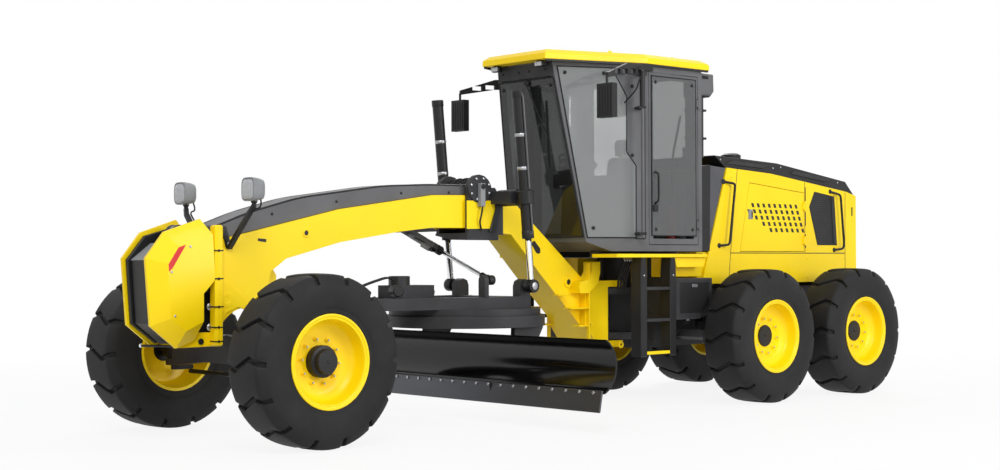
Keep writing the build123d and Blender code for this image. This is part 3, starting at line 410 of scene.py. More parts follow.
def soften(piece, width, segments=2):
    """Rounds a piece's hard edges."""
    rounding = piece.modifiers.new("rounding", "BEVEL")
    rounding.width = width
    rounding.segments = segments
    rounding.limit_method = "ANGLE"
    rounding.angle_limit = math.radians(38)
    rounding.harden_normals = True
    rounding.use_clamp_overlap = True


def node_slot(node):
    """The record's material slot of a node."""
    return next(s["material_slot"] for s in frame["record"]["subparts"] if s["node"] == node)


def dress(node, finish, edge=0.006, segments=2):
    """A welded copy of a node with its edges rounded, in place of the node."""
    mesh = frame["nodes"][node].data.copy()
    mesh.name = f"{node}_skin"
    shape = bmesh.new()
    shape.from_mesh(mesh)
    bmesh.ops.remove_doubles(shape, verts=shape.verts, dist=2e-5)
    bmesh.ops.dissolve_limit(shape, angle_limit=math.radians(0.8), verts=shape.verts, edges=shape.edges)
    shape.to_mesh(mesh)
    shape.free()
    mesh.materials.clear()
    mesh.materials.append(FINISHES[finish])
    mesh.shade_smooth()
    mesh.set_sharp_from_angle(angle=math.radians(30))
    piece = bpy.data.objects.new(f"{node}_skin", mesh)
    bpy.context.scene.collection.objects.link(piece)
    if edge:
        soften(piece, edge, segments)
    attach(piece, NODE_BODY[node])
    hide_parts(node)
    return piece


def frame_of(axis):
    """Two unit vectors square to an axis and to each other, and the axis at unit length."""
    axis = np.asarray(axis, float) / np.linalg.norm(axis)
    guess = np.array([0.0, 0.0, 1.0]) if abs(axis[2]) < 0.9 else np.array([1.0, 0.0, 0.0])
    first = np.cross(guess, axis)
    first /= np.linalg.norm(first)
    return first, np.cross(axis, first), axis


def turned(profile, centre, axis, sides=48, ring=False):
    """Surface of revolution: each (radius, along) of the profile swept round the axis through centre.

    With ring the profile is a closed loop clear of the axis, and otherwise its ends are capped.
    """
    first, second, axis = frame_of(axis)
    turn = np.linspace(0, 2 * np.pi, sides, endpoint=False)
    radius, along = np.asarray(profile, float).T
    around = np.cos(turn)[:, None] * first + np.sin(turn)[:, None] * second
    rings = np.asarray(centre) + radius[:, None, None] * around[None] + along[:, None, None] * axis
    return skin(rings.transpose(1, 0, 2) if ring else rings, closed=ring)


def rounded_path(points, radius, steps=6):
    """A path whose corners become quadratic curves that leave the runs at radius from each corner."""
    points = np.asarray(points, float)
    made = [points[:1]]
    share = np.linspace(0, 1, steps)[:, None]
    for before, corner, after in zip(points[:-2], points[1:-1], points[2:]):
        back, forth = before - corner, after - corner
        reach_back = min(radius, 0.45 * np.linalg.norm(back))
        reach_forth = min(radius, 0.45 * np.linalg.norm(forth))
        start = corner + back / np.linalg.norm(back) * reach_back
        end = corner + forth / np.linalg.norm(forth) * reach_forth
        made.append((1 - share) ** 2 * start + 2 * share * (1 - share) * corner + share**2 * end)
    made.append(points[-1:])
    return np.vstack(made)


def tube(points, radius, sides=10, corner=0.05, steps=6):
    """Round section carried along a path with rounded corners, turned as little as possible on the way."""
    path = rounded_path(points, corner, steps)
    run = np.gradient(path, axis=0)
    run /= np.linalg.norm(run, axis=1)[:, None]
    side = frame_of(run[0])[0]
    first = []
    for direction in run:
        side = side - direction * (side @ direction)
        side = side / np.linalg.norm(side)
        first.append(side)
    first = np.array(first)
    second = np.cross(run, first)
    turn = np.linspace(0, 2 * np.pi, sides, endpoint=False)
    around = np.cos(turn)[None, :, None] * first[:, None] + np.sin(turn)[None, :, None] * second[:, None]
    return skin(path[:, None] + radius * around)


def outline_shift(outline):
    """Inward mitred step of one unit at each corner of a closed outline."""
    forward = np.roll(outline, -1, 0) - outline
    forward /= np.linalg.norm(forward, axis=1)[:, None]
    backward = np.roll(forward, 1, 0)
    cross = outline[:, 0] * np.roll(outline[:, 1], -1) - np.roll(outline[:, 0], -1) * outline[:, 1]
    turn = np.sign(cross.sum())
    normal_a = turn * np.stack([-backward[:, 1], backward[:, 0]], 1)
    normal_b = turn * np.stack([-forward[:, 1], forward[:, 0]], 1)
    middle = normal_a + normal_b
    return middle / np.maximum((middle * normal_a).sum(1), 0.25)[:, None]


PLANES = {"XZ": (0, 2, 1), "XY": (0, 1, 2), "YZ": (1, 2, 0)}


def laid(outline, offset, plane):
    """Outline points put in a plane of the frame's axes at an offset along the third axis."""
    points = np.zeros((len(outline), 3))
    points[:, PLANES[plane][0]], points[:, PLANES[plane][1]] = np.asarray(outline, float).T
    points[:, PLANES[plane][2]] = offset
    return points


def prism(outline, low, high, edge=0.004, plane="XZ"):
    """Plate of an outline between two offsets, with a chamfer of edge round both faces."""
    outline = np.asarray(outline, float)
    low, high = min(low, high), max(low, high)
    edge = min(edge, (high - low) / 2.01)
    drawn_in = outline + outline_shift(outline) * edge
    layers = [(drawn_in, low), (outline, low + edge), (outline, high - edge), (drawn_in, high)]
    return skin([laid(points, offset, plane) for points, offset in layers])


def block(low, high, edge=0.004):
    """Box between two corners with chamfered edges."""
    low, high = np.minimum(low, high), np.maximum(low, high)
    cut = min(edge, 0.4 * (high - low).min())
    outline = [
        (low[0] + cut, low[1]), (high[0] - cut, low[1]), (high[0], low[1] + cut), (high[0], high[1] - cut),
        (high[0] - cut, high[1]), (low[0] + cut, high[1]), (low[0], high[1] - cut), (low[0], low[1] + cut),
    ]
    return prism(outline, low[2], high[2], cut, "XY")


def bar(start, end, wide, deep, up=UP):
    """Rectangular bar between two places, wide across and deep along up."""
    start, end = np.asarray(start, float), np.asarray(end, float)
    run = (end - start) / np.linalg.norm(end - start)
    side = np.cross(up, run)
    side = side / np.linalg.norm(side) * wide / 2
    rise = np.cross(run, side / np.linalg.norm(side)) * deep / 2
    corners = np.array([side + rise, -side + rise, -side - rise, side - rise])
    return skin([start + corners, end + corners])


def cap(radius, wall, crown, height):
    """Profile of a button, nut or bolt head for turned(): a wall, then a chamfer up to a smaller crown."""
    return [(radius, 0), (radius, wall), (crown, height)]


def as_drawn(surface):
    """A surface left on the side it was drawn for."""
    return surface


def mirror(surface):
    """A surface carried over to the machine's other side."""
    points, groups = surface
    return points * (1, -1, 1), [group[:, ::-1] for group in groups]


# ------------------------------------------------------------------ wheels
TYRE_RADIUS = 0.662
LUG_HEIGHT = 0.030
GROOVE = (0.0165, 0.0225, 0.0275)  # a groove's half width at its floor, low on its wall and at its top
GROOVE_SINK = (1.0, 0.09, 0.0)  # share of its depth at each of them
ZIGZAG_AT, SHOULDER = 0.092, 0.236  # along the axle: where a groove turns, and where it runs out
BEAD = (0.196, 0.345)  # (along the axle, radius) of the tyre's inner edge


def tyre_section():
    """Half of a tyre's section as (along the axle, radius, groove depth), from the bead to the crown."""
    return np.array([
        (0.196, 0.350, 0), (0.203, 0.372, 0), (0.206, 0.388, 0), (0.2065, 0.396, 0), (0.211, 0.402, 0),
        (0.217, 0.43, 0), (0.2225, 0.465, 0), (0.2255, 0.505, 0), (0.2245, 0.545, 0), (0.2185, 0.578, 0),
        (0.2165, 0.586, 0.002), (0.2155, 0.589, 0.020), (0.209, 0.606, 0.024), (0.199, 0.624, 0.028),
        (0.189, 0.640, 0.030), (0.180, 0.651, 0.030), (0.170, 0.6565, 0.030), (0.150, 0.6585, 0.030),
        (0.120, 0.6600, 0.030), (0.092, 0.6608, 0.030), (0.060, 0.6616, 0.030), (0.030, 0.6620, 0.030),
    ])


def tyre_points(lugs, across):
    """Grid of a tyre's skin, (stations round, section points, 3), axle along Y through the origin.

    Round the tyre the columns bunch at the walls of each transverse groove. A column u metres from its
    groove's middle sinks by depth * g(u), where g falls from 1 on the floor to 0 at the wall's top, and
    the whole groove zigzags: its angle shifts by z(y) / R, with z piecewise linear through +-ZIGZAG_AT.
    """
    half = tyre_section()
    crown = np.array([(0.0, TYRE_RADIUS, LUG_HEIGHT)])
    section = np.vstack([half, crown, half[::-1] * (-1, 1, 1)])
    along, radius, depth = section.T
    slope = np.gradient(section[:, :2], axis=0)
    slope /= np.linalg.norm(slope, axis=1)[:, None]
    inward = np.stack([slope[:, 1], -slope[:, 0]], 1)
    inward *= np.sign(-inward[:, 1:2] + 1e-9)
    pitch = 2 * np.pi * TYRE_RADIUS / lugs
    edge = np.array([0.0, *GROOVE])
    land = np.linspace(GROOVE[-1], pitch - GROOVE[-1], 6)[1:-1]
    u = np.concatenate([edge, land, pitch - edge[:0:-1]])
    sink = np.tile(np.interp(np.minimum(u, pitch - u), GROOVE, GROOVE_SINK), lugs)
    column = (np.arange(lugs)[:, None] + 0.5 + (u / pitch)[None]).ravel() * 2 * np.pi / lugs
    zigzag = np.interp(along, [-SHOULDER, -ZIGZAG_AT, ZIGZAG_AT, SHOULDER], [0, across, -across, 0])
    angle = column[:, None] + zigzag[None] / TYRE_RADIUS
    y = along[None] + sink[:, None] * depth[None] * inward[None, :, 0]
    r = radius[None] + sink[:, None] * depth[None] * inward[None, :, 1]
    return np.stack([r * np.sin(angle), y, r * np.cos(angle)], -1)


def build_tyres(sizes):
    """Six tyres with zigzag transverse grooves between broad lugs."""
    grid = tyre_points(sizes.lugs, sizes.zigzag)
    turn = np.arctan2(grid[:, :1, 0], grid[:, :1, 2])
    y = np.broadcast_to([-BEAD[0], BEAD[0]], (len(turn), 2))
    bore = np.stack([BEAD[1] * np.sin(turn) + 0 * y, y, BEAD[1] * np.cos(turn) + 0 * y], -1)
    rings = np.concatenate([grid, bore], 1)
    for wheel in WHEELS:
        side = 1 if wheel.endswith("left") else -1
        tyre = Shell(f"tread_{wheel}", f"wheel_{wheel}", "tyre_rubber")
        tyre.add(skin(rings * (1, side, 1) + centre_of(f"tyre_{wheel}"), closed=True), "rubber")
        tyre.build(smooth=32, replaces=[f"tyre_{wheel}"])


RIM_SECTION = [  # (radius, along the axle outward) round the rim's steel
    (0.3430, 0.1950), (0.3550, 0.1960), (0.3605, 0.2000), (0.3615, 0.2050), (0.3585, 0.2095),
    (0.3520, 0.2110), (0.3450, 0.2095), (0.3400, 0.2060), (0.3375, 0.2010), (0.3330, 0.1995),
    (0.3280, 0.2020), (0.3230, 0.2010), (0.3195, 0.1960), (0.3170, 0.1880), (0.3140, 0.1700),
    (0.3100, 0.1400), (0.3060, 0.1120), (0.2990, 0.0960), (0.2880, 0.0840), (0.2740, 0.0730),
    (0.2600, 0.0620), (0.2450, 0.0555), (0.2250, 0.0520), (0.1900, 0.0500), (0.1000, 0.0500),
    (0.1000, 0.0270), (0.2500, 0.0270), (0.2750, 0.0200), (0.2900, -0.0100), (0.3060, -0.1000),
    (0.3160, -0.1850), (0.3200, -0.1960), (0.3430, -0.1985),
]


FRONT_HUB = [  # (radius, along the axle outward)
    (0.096, 0.045), (0.118, 0.046), (0.122, 0.050), (0.123, 0.112), (0.119, 0.119), (0.098, 0.121),
    (0.0935, 0.124), (0.092, 0.163), (0.087, 0.170), (0.030, 0.172),
]
REAR_HUB = [(0.098, 0.045), (0.105, 0.047), (0.107, 0.058), (0.103, 0.064), (0.060, 0.066), (0.020, 0.066)]
WHEEL_NUT = [(0.021, -0.002), (0.021, 0.002), (0.0165, 0.004), (0.0165, 0.018), (0.013, 0.022)]
STUD_END = [(0.0085, 0.015), (0.0085, 0.030), (0.007, 0.032)]
STUD_CIRCLE = 0.172
DISC_FACE = 0.050  # along the axle


def build_rims(sizes):
    """Six rims with rolled lips, a deep dish, ten studs, a hub and a valve."""
    turn = np.linspace(0, 2 * np.pi, sizes.studs, endpoint=False) + 0.2
    stud_places = STUD_CIRCLE * np.stack([np.sin(turn), 0 * turn, np.cos(turn)], -1)
    valve_hole = 0.300 * np.array([np.cos(0.5), 0, np.sin(0.5)])
    for wheel in WHEELS:
        centre = np.array(centre_of(f"tyre_{wheel}"))
        out = np.array([0.0, 1 if wheel.endswith("left") else -1, 0.0])
        rim = Shell(f"wheel_disc_{wheel}", f"wheel_{wheel}", "yellow_paint")
        rim.add(turned(RIM_SECTION, centre, out, 72, ring=True), "yellow")
        hub = FRONT_HUB if wheel.startswith("front") else REAR_HUB
        end = hub[-1][1]
        rim.add(turned(hub, centre, out, 56), "satin")
        rim.add(
            turned([(0.012, end - 0.012), (0.012, end + 0.004), (0.008, end + 0.007)], centre, out, 6),
            "satin",
        )
        for place in centre + DISC_FACE * out + stud_places:
            rim.add(turned(WHEEL_NUT, place, out, 6), "yellow")
            rim.add(turned(STUD_END, place, out, 8), "steel")
        valve = centre + valve_hole + 0.085 * out
        rim.add(tube([valve - 0.03 * out, valve + 0.02 * out, valve + 0.06 * out], 0.006, 8), "satin")
        rim.build(smooth=32, replaces=[f"rim_{wheel}"])


# ------------------------------------------------------------------ finishes of the frame's own pieces
SLOT_FINISH = {
    "yellow_paint": "yellow", "dark_paint": "charcoal", "grey_paint": "grey", "black_paint": "satin",
    "steel": "edge", "chrome_rod": "chrome", "tyre_rubber": "rubber", "window_glass": "glass",
    "seat_fabric": "cloth", "black_plastic": "plastic", "engine_iron": "charcoal",
}
FINISH_OF = {  # nodes whose finish differs from their slot's
    "circle": "charcoal", "mouldboard": "gloss", "tie_rod": "satin", "knuckle_left": "satin",
    "knuckle_right": "satin",
}
REBUILT = {  # nodes that a group makes anew
    *(f"{kind}_{wheel}" for kind in ("tyre", "rim") for wheel in WHEELS), "nose_cowl", "nose_core",
    "head_lamps", "cab_glass", "door_glass_left", "door_glass_right", "seat", "console", "platform",
}
SHARP_SLOTS = ("window_glass", "chrome_rod")  # glass and rods keep their edges


def build_skins(sizes):
    """Rounds the edges of every node that no other group rebuilds, and paints it."""
    for node in frame["nodes"]:
        if node not in REBUILT:
            slot = node_slot(node)
            edge = 0.0 if slot in SHARP_SLOTS else sizes.edge
            dress(node, FINISH_OF.get(node, SLOT_FINISH[slot]), edge)


# ------------------------------------------------------------------ stage
def backdrop_rays(tree):
    """1 for rays that show the backdrop (camera, glossy, transmission), 0 for those that light the object."""
    rays = add_node(tree, "ShaderNodeLightPath").outputs
    either = {0: rays["Is Camera Ray"], 1: rays["Is Glossy Ray"]}
    first = add_node(tree, "ShaderNodeMath", either, operation="MAXIMUM")
    either = {0: first.outputs[0], 1: rays["Is Transmission Ray"]}
    return add_node(tree, "ShaderNodeMath", either, operation="MAXIMUM")


def lay_floor():
    """Pale board under the machine: it takes the shadow, and fades to the white surround further out."""
    reach = 60.0
    floor = bpy.data.meshes.new("floor")
    corners = [(-reach, -reach, 0), (reach, -reach, 0), (reach, reach, 0), (-reach, reach, 0)]
    floor.from_pydata(corners, [], [(0, 1, 2, 3)])
    material, tree, coords = new_finish("pale_studio_floor")
    mottle = grain(tree, coords, 3000, 2)
    colour = ramp(tree, mottle, [(0.0, "#D8D8D8"), (1.0, "#E2E2E2")])
    rough = span(tree, mottle, 0.55, 0.62)
    board = add_node(tree, "ShaderNodeBsdfPrincipled", {"Base Color": colour, "Roughness": rough})
    white = add_node(tree, "ShaderNodeEmission", {"Color": (1, 1, 1, 1), "Strength": 1.0})
    from_middle = add_node(tree, "ShaderNodeVectorMath", {0: coords}, operation="LENGTH").outputs["Value"]
    fade = add_node(
        tree,
        "ShaderNodeMapRange",
        {"Value": from_middle, "From Min": 5.0, "From Max": 11.0, "To Min": 0.88, "To Max": 1.0},
    )
    seen = backdrop_rays(tree)
    share = add_node(
        tree, "ShaderNodeMath", {0: seen.outputs[0], 1: fade.outputs["Result"]}, operation="MULTIPLY",
    )
    shown = add_node(
        tree, "ShaderNodeMixShader", {0: share.outputs[0], 1: board.outputs[0], 2: white.outputs[0]},
    )
    add_node(tree, "ShaderNodeOutputMaterial", {"Surface": shown.outputs[0]})
    floor.materials.append(material)
    ground = bpy.data.objects.new("floor", floor)
    bpy.context.scene.collection.objects.link(ground)


def hang_surround(strength):
    """World that lights softly, and shows as plain white."""
    world = bpy.data.worlds.new("surround")
    bpy.context.scene.world = world
    world.use_nodes = True
    tree = world.node_tree
    tree.nodes.clear()
    light = add_node(tree, "ShaderNodeBackground", {"Color": linear("#F2F5FA"), "Strength": strength})
    white = add_node(tree, "ShaderNodeBackground", {"Color": (1, 1, 1, 1), "Strength": 1.0})
    seen = backdrop_rays(tree)
    mix = add_node(
        tree, "ShaderNodeMixShader", {0: seen.outputs[0], 1: light.outputs[0], 2: white.outputs[0]},
    )
    add_node(tree, "ShaderNodeOutputWorld", {"Surface": mix.outputs[0]})


def place_lamps(key):
    """Key lamp ahead and to the left, a weaker one beside the machine and one behind it."""
    lamps = [  # (name, place, aim, size, power)
        ("key", (9.0, 9.0, 11.0), (0, 0, 1.2), 7.0, key),
        ("side", (-3.0, 13.0, 5.0), (-1.0, 0, 1.2), 6.0, key * 0.6),
        ("rim", (-9.0, -7.0, 9.0), (0, 0, 1.5), 6.0, key * 0.5),
    ]
    for name, place, aim, size, power in lamps:
        lamp = bpy.data.lights.new(name, "AREA")
        lamp.shape, lamp.size, lamp.energy = "DISK", size, power
        holder = bpy.data.objects.new(name, lamp)
        holder.location = place
        holder.rotation_euler = (Vector(aim) - Vector(place)).to_track_quat("-Z", "Y").to_euler()
        bpy.context.scene.collection.objects.link(holder)


def place_camera(lens):
    """Camera at eye height off the machine's left front corner."""
    camera = bpy.data.cameras.new("camera")
    camera.lens, camera.sensor_width = lens, 36.0
    holder = bpy.data.objects.new("camera", camera)
    stand = Vector((10.390, 10.566, 1.42))
    yaw, pitch, roll = (math.radians(angle) for angle in (-132.959, 0.929, -0.15))
    look = Vector((math.cos(pitch) * math.cos(yaw), math.cos(pitch) * math.sin(yaw), math.sin(pitch)))
    turn = look.to_track_quat("-Z", "Y").to_matrix().to_4x4()
    holder.matrix_world = Matrix.Translation(stand) @ turn @ Matrix.Rotation(roll, 4, "Z")
    bpy.context.scene.collection.objects.link(holder)
    bpy.context.scene.camera = holder


def build_stage(stage):
    """Pale floor, soft light from the machine's left and front, white surround and the camera."""
    lay_floor()
    hang_surround(stage.fill)
    place_lamps(stage.key)
    place_camera(stage.lens)
    bpy.context.scene.view_settings.view_transform = "Standard"


# ------------------------------------------------------------------ nose and head lamps
def facets(points, faces):
    """Closed surface from corners and faces of any size, turned outward."""
    points = np.asarray(points, float)
    groups = [np.array([face]) for face in faces]
    if sum(signed_volume(points, group) for group in groups) < 0:
        groups = [group[:, ::-1] for group in groups]
    return points, groups


WING_RIM = [  # (ahead, height) of the outer edge of a nose wing
    (0.928, 1.440), (0.886, 0.924), (0.662, 0.747), (0.500, 0.806), (0.452, 0.943), (0.450, 1.165),
    (0.352, 1.268), (0.352, 1.630), (0.449, 1.746), (0.768, 1.642),
]
WING_FACE = [  # (ahead, from the middle, height) of its raised face
    (0.766, 0.242, 1.399), (0.764, 0.247, 1.331), (0.736, 0.247, 0.979), (0.609, 0.247, 0.878),
    (0.449, 0.247, 0.950), (0.449, 0.247, 1.165), (0.350, 0.247, 1.267), (0.350, 0.247, 1.331),
    (0.350, 0.222, 1.622), (0.666, 0.228, 1.532),
]


def nose_wing():
    """Left wing of the nose: an edge of 26 mm, then facets that rise to a folded face."""
    inner = [(*at(x, 0.163, z),) for x, z in WING_RIM]
    outer = [(*at(x, 0.190, z),) for x, z in WING_RIM]
    face = [(*at(*corner),) for corner in WING_FACE]
    a, b, c = range(10), range(10, 20), range(20, 30)
    ring = [(a[i], a[(i + 1) % 10], b[(i + 1) % 10], b[i]) for i in range(10)]
    slopes = [
        (b[0], b[1], c[2], c[1], c[0]), (b[1], b[2], c[3], c[2]), (b[2], b[3], b[4], c[4], c[3]),
        (b[4], b[5], c[5], c[4]), (b[5], b[6], c[6], c[5]), (b[6], b[7], c[8], c[7], c[6]),
        (b[7], b[8], b[9], c[9], c[8]), (b[9], b[0], c[0], c[9]),
    ]
    top = [(c[0], c[1], c[7], c[8], c[9]), (c[1], c[2], c[3], c[4], c[5], c[6], c[7])]
    return facets(inner + outer + face, [tuple(reversed(a)), *ring, *slopes, *top])


def build_nose(sizes):
    """Folded wings with reflectors either side of a black core, and the bolted flange behind them."""
    body = NODE_BODY["nose_cowl"]
    wings = Shell("nose_wings", body, "yellow_paint")
    wing = nose_wing()
    for hand in (as_drawn, mirror):
        wings.add(hand(wing), "yellow")
        # flange, its foot plate and the gusset behind
        flange = [
            (0.345, 0.168), (0.345, 0.236), (0.318, 0.246), (0.280, 0.246), (0.272, 0.238), (0.272, 0.168),
        ]
        wings.add(hand(prism(stations(flange), 0.752, 1.700, 0.012, "XY")), "yellow")
        foot = [(0.655, 0.747), (0.500, 0.800), (0.452, 0.860), (0.300, 0.860), (0.300, 0.749)]
        wings.add(hand(prism(stations(foot), 0.128, 0.160, 0.003)), "yellow")
        wings.add(hand(block(at(0.275, 0.020, 0.850), at(0.292, 0.160, 1.300), 0.003)), "yellow")
    wings.build(smooth=11, bevel=0.0045, replaces=["nose_cowl"])

    core = Shell("nose_core_cover", body, "black_paint")
    middle = [
        (0.880, 1.425), (0.846, 0.935), (0.640, 0.775), (0.300, 0.792), (0.300, 1.560), (0.455, 1.640),
        (0.700, 1.552),
    ]
    core.add(prism(stations(middle), -0.112, 0.112, 0.012), "satin")
    liner = [
        (0.905, 1.430), (0.868, 0.935), (0.655, 0.775), (0.470, 0.815), (0.425, 0.945), (0.425, 1.160),
        (0.300, 1.180), (0.300, 1.600), (0.452, 1.700), (0.752, 1.615),
    ]
    grey_panel = [(0.881, 1.428), (0.705, 1.560), (0.700, 1.553), (0.876, 1.421)]
    core.add(prism(stations(grey_panel), -0.118, 0.118, 0.002), "pale_plastic")
    core.add(block(at(0.640, -0.060, 1.560), at(0.540, 0.020, 1.630), 0.006), "pale_plastic")
    # horn on top, cable tray below it
    for y, finish, radius in (
        (-0.050, "satin", 0.052), (-0.005, "pale_plastic", 0.047), (0.040, "satin", 0.052),
    ):
        core.add(turned(cap(radius, 0.040, radius - 0.008, 0.046), at(0.560, y, 1.650), LEFT, 24), finish)
    for hand in (as_drawn, mirror):
        core.add(hand(prism(stations(liner), 0.118, 0.158, 0.006)), "satin")
        for height in (0.900, 1.060):
            boss = [(0.030, 0), (0.030, 0.008), (0.022, 0.016), (0.010, 0.018)]
            core.add(hand(turned(boss, at(0.345, 0.160, height), LEFT, 14)), "steel")
        core.add(hand(turned(cap(0.024, 0.012, 0.015, 0.014), at(0.425, 0.160, 0.790), LEFT, 14)), "satin")
    core.build(smooth=30, bevel=0.003, replaces=["nose_core"])

    trim = Shell("nose_trim", body)
    fold = 0.247 + 0.0005  # just proud of the folded face
    lean = (0.247 - 0.2225) / (1.622 - 1.331)
    corners = [(0.664, 1.524), (0.600, 1.545), (0.724, 1.368), (0.757, 1.338), (0.760, 1.394)]
    for hand in (as_drawn, mirror):
        low = [at(x, fold - lean * (z - 1.331) - 0.001, z) for x, z in corners]
        high = [point + (0, 0.0035, 0) for point in low]
        trim.add(hand(skin([low, high])), "red")
        for x, z in ((0.735, 1.335), (0.560, 1.530), (0.705, 0.998)):
            place = at(x, fold - lean * max(z - 1.331, 0) - 0.001, z)
            trim.add(hand(turned(cap(0.0105, 0.003, 0.006, 0.007), place, LEFT, 10)), "steel")
        for z in (1.500, 1.280, 1.060, 0.900, 0.790):
            trim.add(hand(turned(cap(0.011, 0.007, 0.007, 0.009), at(0.315, 0.2455, z), LEFT, 6)), "satin")
            trim.add(hand(block(at(0.348, 0.170, z - 0.005), at(0.270, 0.2475, z + 0.005), 0.001)), "satin")
    trim.add(
        tube([at(0.735, -0.190, 0.757), at(0.640, 0.000, 0.757), at(0.600, 0.110, 0.757)], 0.010, 10, 0.02),
        "satin",
    )
    tip = [(0.012, 0), (0.015, 0.004), (0.015, 0.016), (0.010, 0.020)]
    trim.add(turned(tip, at(0.737, -0.194, 0.757), (0.45, -0.89, 0), 12), "chrome")
    trim.build(smooth=35)


def signed_root(wave):
    """Square root that keeps its sign: it turns a circle's sine and cosine into a superellipse's."""
    return np.sign(wave) * np.sqrt(np.abs(wave))


def lamp_shell():
    """Rounded-square lamp body as rings from its back to its bezel, round the X axis.

    Ring k is the superellipse |y/a|^4 + |z/b|^4 = 1 with half sizes (a, b) taken from the profile.
    """
    profile = np.array([  # (ahead, half width, half height)
        (-0.070, 0.020, 0.024), (-0.066, 0.052, 0.060), (-0.050, 0.072, 0.078), (-0.010, 0.084, 0.088),
        (0.040, 0.090, 0.093), (0.058, 0.090, 0.093), (0.062, 0.086, 0.089), (0.062, 0.078, 0.081),
        (0.050, 0.076, 0.079),
    ])
    turn = np.linspace(0, 2 * np.pi, 40, endpoint=False)
    y = profile[:, 1:2] * signed_root(np.cos(turn))[None]
    z = profile[:, 2:3] * signed_root(np.sin(turn))[None]
    return np.stack([np.broadcast_to(profile[:, :1], y.shape), y, z], -1)


def build_lamps(sizes):
    """Rounded head lamps on bent arms, with struts down to the beam."""
    for name, side in HANDS:
        lamp = Shell(f"head_lamp_{name}", NODE_BODY["head_lamps"], "black_paint")
        middle = at(0.155, side * 0.497, 1.974)
        lamp.add(skin(lamp_shell() + middle), "pale_plastic")
        lens = lamp_shell()[-2:] * (1, 0.97, 0.97)
        front = lens[:1] + (0.004, 0, 0)
        dome = [lens[1:] - (0.002, 0, 0), front - (0.004, 0, 0)]
        dome += [front * (1, share, share) + (rise, 0, 0) for share, rise in ((0.8, 0.004), (0.3, 0.006))]
        lamp.add(skin(np.concatenate(dome) + middle), "lens")
        neck = [(0.018, 0), (0.018, 0.030), (0.026, 0.040), (0.026, 0.052)]
        lamp.add(turned(neck, middle + (0, 0, -0.140), UP, 14), "satin")
        tip = at(0.185, side * 0.192, 1.520)
        knee, high = at(0.170, side * 0.465, 1.800), at(0.155, side * 0.497, 1.850)
        lamp.add(bar(tip, knee, 0.030, 0.040, FORWARD), "satin")
        lamp.add(bar(knee - (high - knee) * 0.15, high, 0.028, 0.036, FORWARD), "satin")
        lamp.add(
            bar(tip + (0.0, -side * 0.004, 0.0), at(0.225, side * 0.170, 1.690), 0.012, 0.050, FORWARD),
            "satin",
        )
        lamp.add(
            turned(cap(0.020, 0.012, 0.012, 0.014), tip + (0, side * -0.004, 0.03), (0, side, 0), 6), "steel",
        )
        cable = [
            middle + (-0.06, 0, -0.05), middle + (-0.08, -side * 0.02, -0.14), knee + (-0.03, 0, 0.02),
            tip + (-0.03, 0, 0.05),
        ]
        lamp.add(tube(cable, 0.007, 8, 0.05), "rubber")
        lamp.build(smooth=35, bevel=0.002, replaces=["head_lamps"])


# ------------------------------------------------------------------ beam
BEAM_SIDE = 0.1801  # outer face of the beam's side plates


def ring_boss(shell, place, side, radius, hole, finish, stand=0.012):
    """A flat boss with a dark hole, standing on a side plate."""
    out = (0, side, 0)
    root, edge = -0.002, 0.004
    top = stand + 0.003
    ring = [
        (hole, root), (hole, stand), (hole + edge, top), (radius - edge, top), (radius, stand),
        (radius, root),
    ]
    shell.add(turned(ring, place, out, 28, ring=True), finish)
    shell.add(turned([(hole, 0.0), (hole, 0.003), (hole * 0.5, 0.004)], place, out, 20), "satin")


def build_beam_trim(sizes):
    """Bosses, slots and cheek plates on the beam's sides, its cover's edge and the hoses over it."""
    body = NODE_BODY["front_frame"]
    trim = Shell("beam_trim", body)
    for side in SIDES:
        plate = side * BEAM_SIDE
        ring_boss(trim, at(0.205, plate, 1.112), side, 0.062, 0.026, "yellow")
        ring_boss(trim, at(-0.566, plate, 1.646), side, 0.036, 0.021, "yellow", 0.006)
        ring_boss(trim, at(-3.637, plate, 1.207), side, 0.055, 0.028, "yellow")
        slot = [(-0.093, 1.600), (-0.093, 1.578), (-0.173, 1.568), (-0.173, 1.594)]
        trim.add(prism(stations(slot), plate, plate + side * 0.003, 0.001), "satin")
        leg_slot = [
            (-3.150, 1.568), (-3.162, 1.592), (-3.190, 1.600), (-3.262, 1.530), (-3.268, 1.492),
            (-3.244, 1.476), (-3.212, 1.486),
        ]
        trim.add(prism(stations(leg_slot), plate, plate + side * 0.003, 0.001), "satin")
        # cheek plate round the axle's arch
        cheek = [
            (0.262, 1.290), (0.160, 1.224), (0.064, 1.150), (-0.022, 1.042), (-0.003, 1.018), (0.103, 1.053),
            (0.207, 1.008), (0.262, 0.905),
        ]
        trim.add(prism(stations(cheek), plate, plate + side * 0.012, 0.003), "yellow")
        for x, z in ((-3.859, 0.794), (-4.298, 0.585)):
            ring_boss(trim, at(x, side * 0.252, z), side, 0.034, 0.014, "yellow", 0.010)
    trim.build(smooth=35)

    cover = Shell("cover_edge", body, "dark_paint")
    top = [
        (0.262, 1.703), (-0.032, 1.812), (-0.520, 1.942), (-1.400, 2.066), (-1.936, 2.094), (-2.380, 2.098),
    ]
    for side in SIDES:
        cover.add(tube([at(x, side * 0.141, z - 0.007) for x, z in top], 0.011, 8, 0.12), "satin")
        for x, z in ((-0.25, 1.828), (-0.90, 1.945), (-1.60, 2.035), (-2.15, 2.055)):
            cover.add(
                turned(cap(0.012, 0.004, 0.008, 0.007), at(x, side * 0.1505, z - 0.03), (0, side, 0), 8),
                "satin",
            )
    # hoses from the cover to the saddle
    for k in range(6):
        y = -0.095 + 0.038 * k
        run = [
            at(-2.330, y, 2.060), at(-2.430, y, 2.150 + 0.01 * (k % 2)), at(-2.540, y * 1.5, 2.165),
            at(-2.640, y * 1.8, 2.090),
        ]
        cover.add(tube(run, 0.011, 8, 0.06), "rubber")
    cover.build(smooth=40)


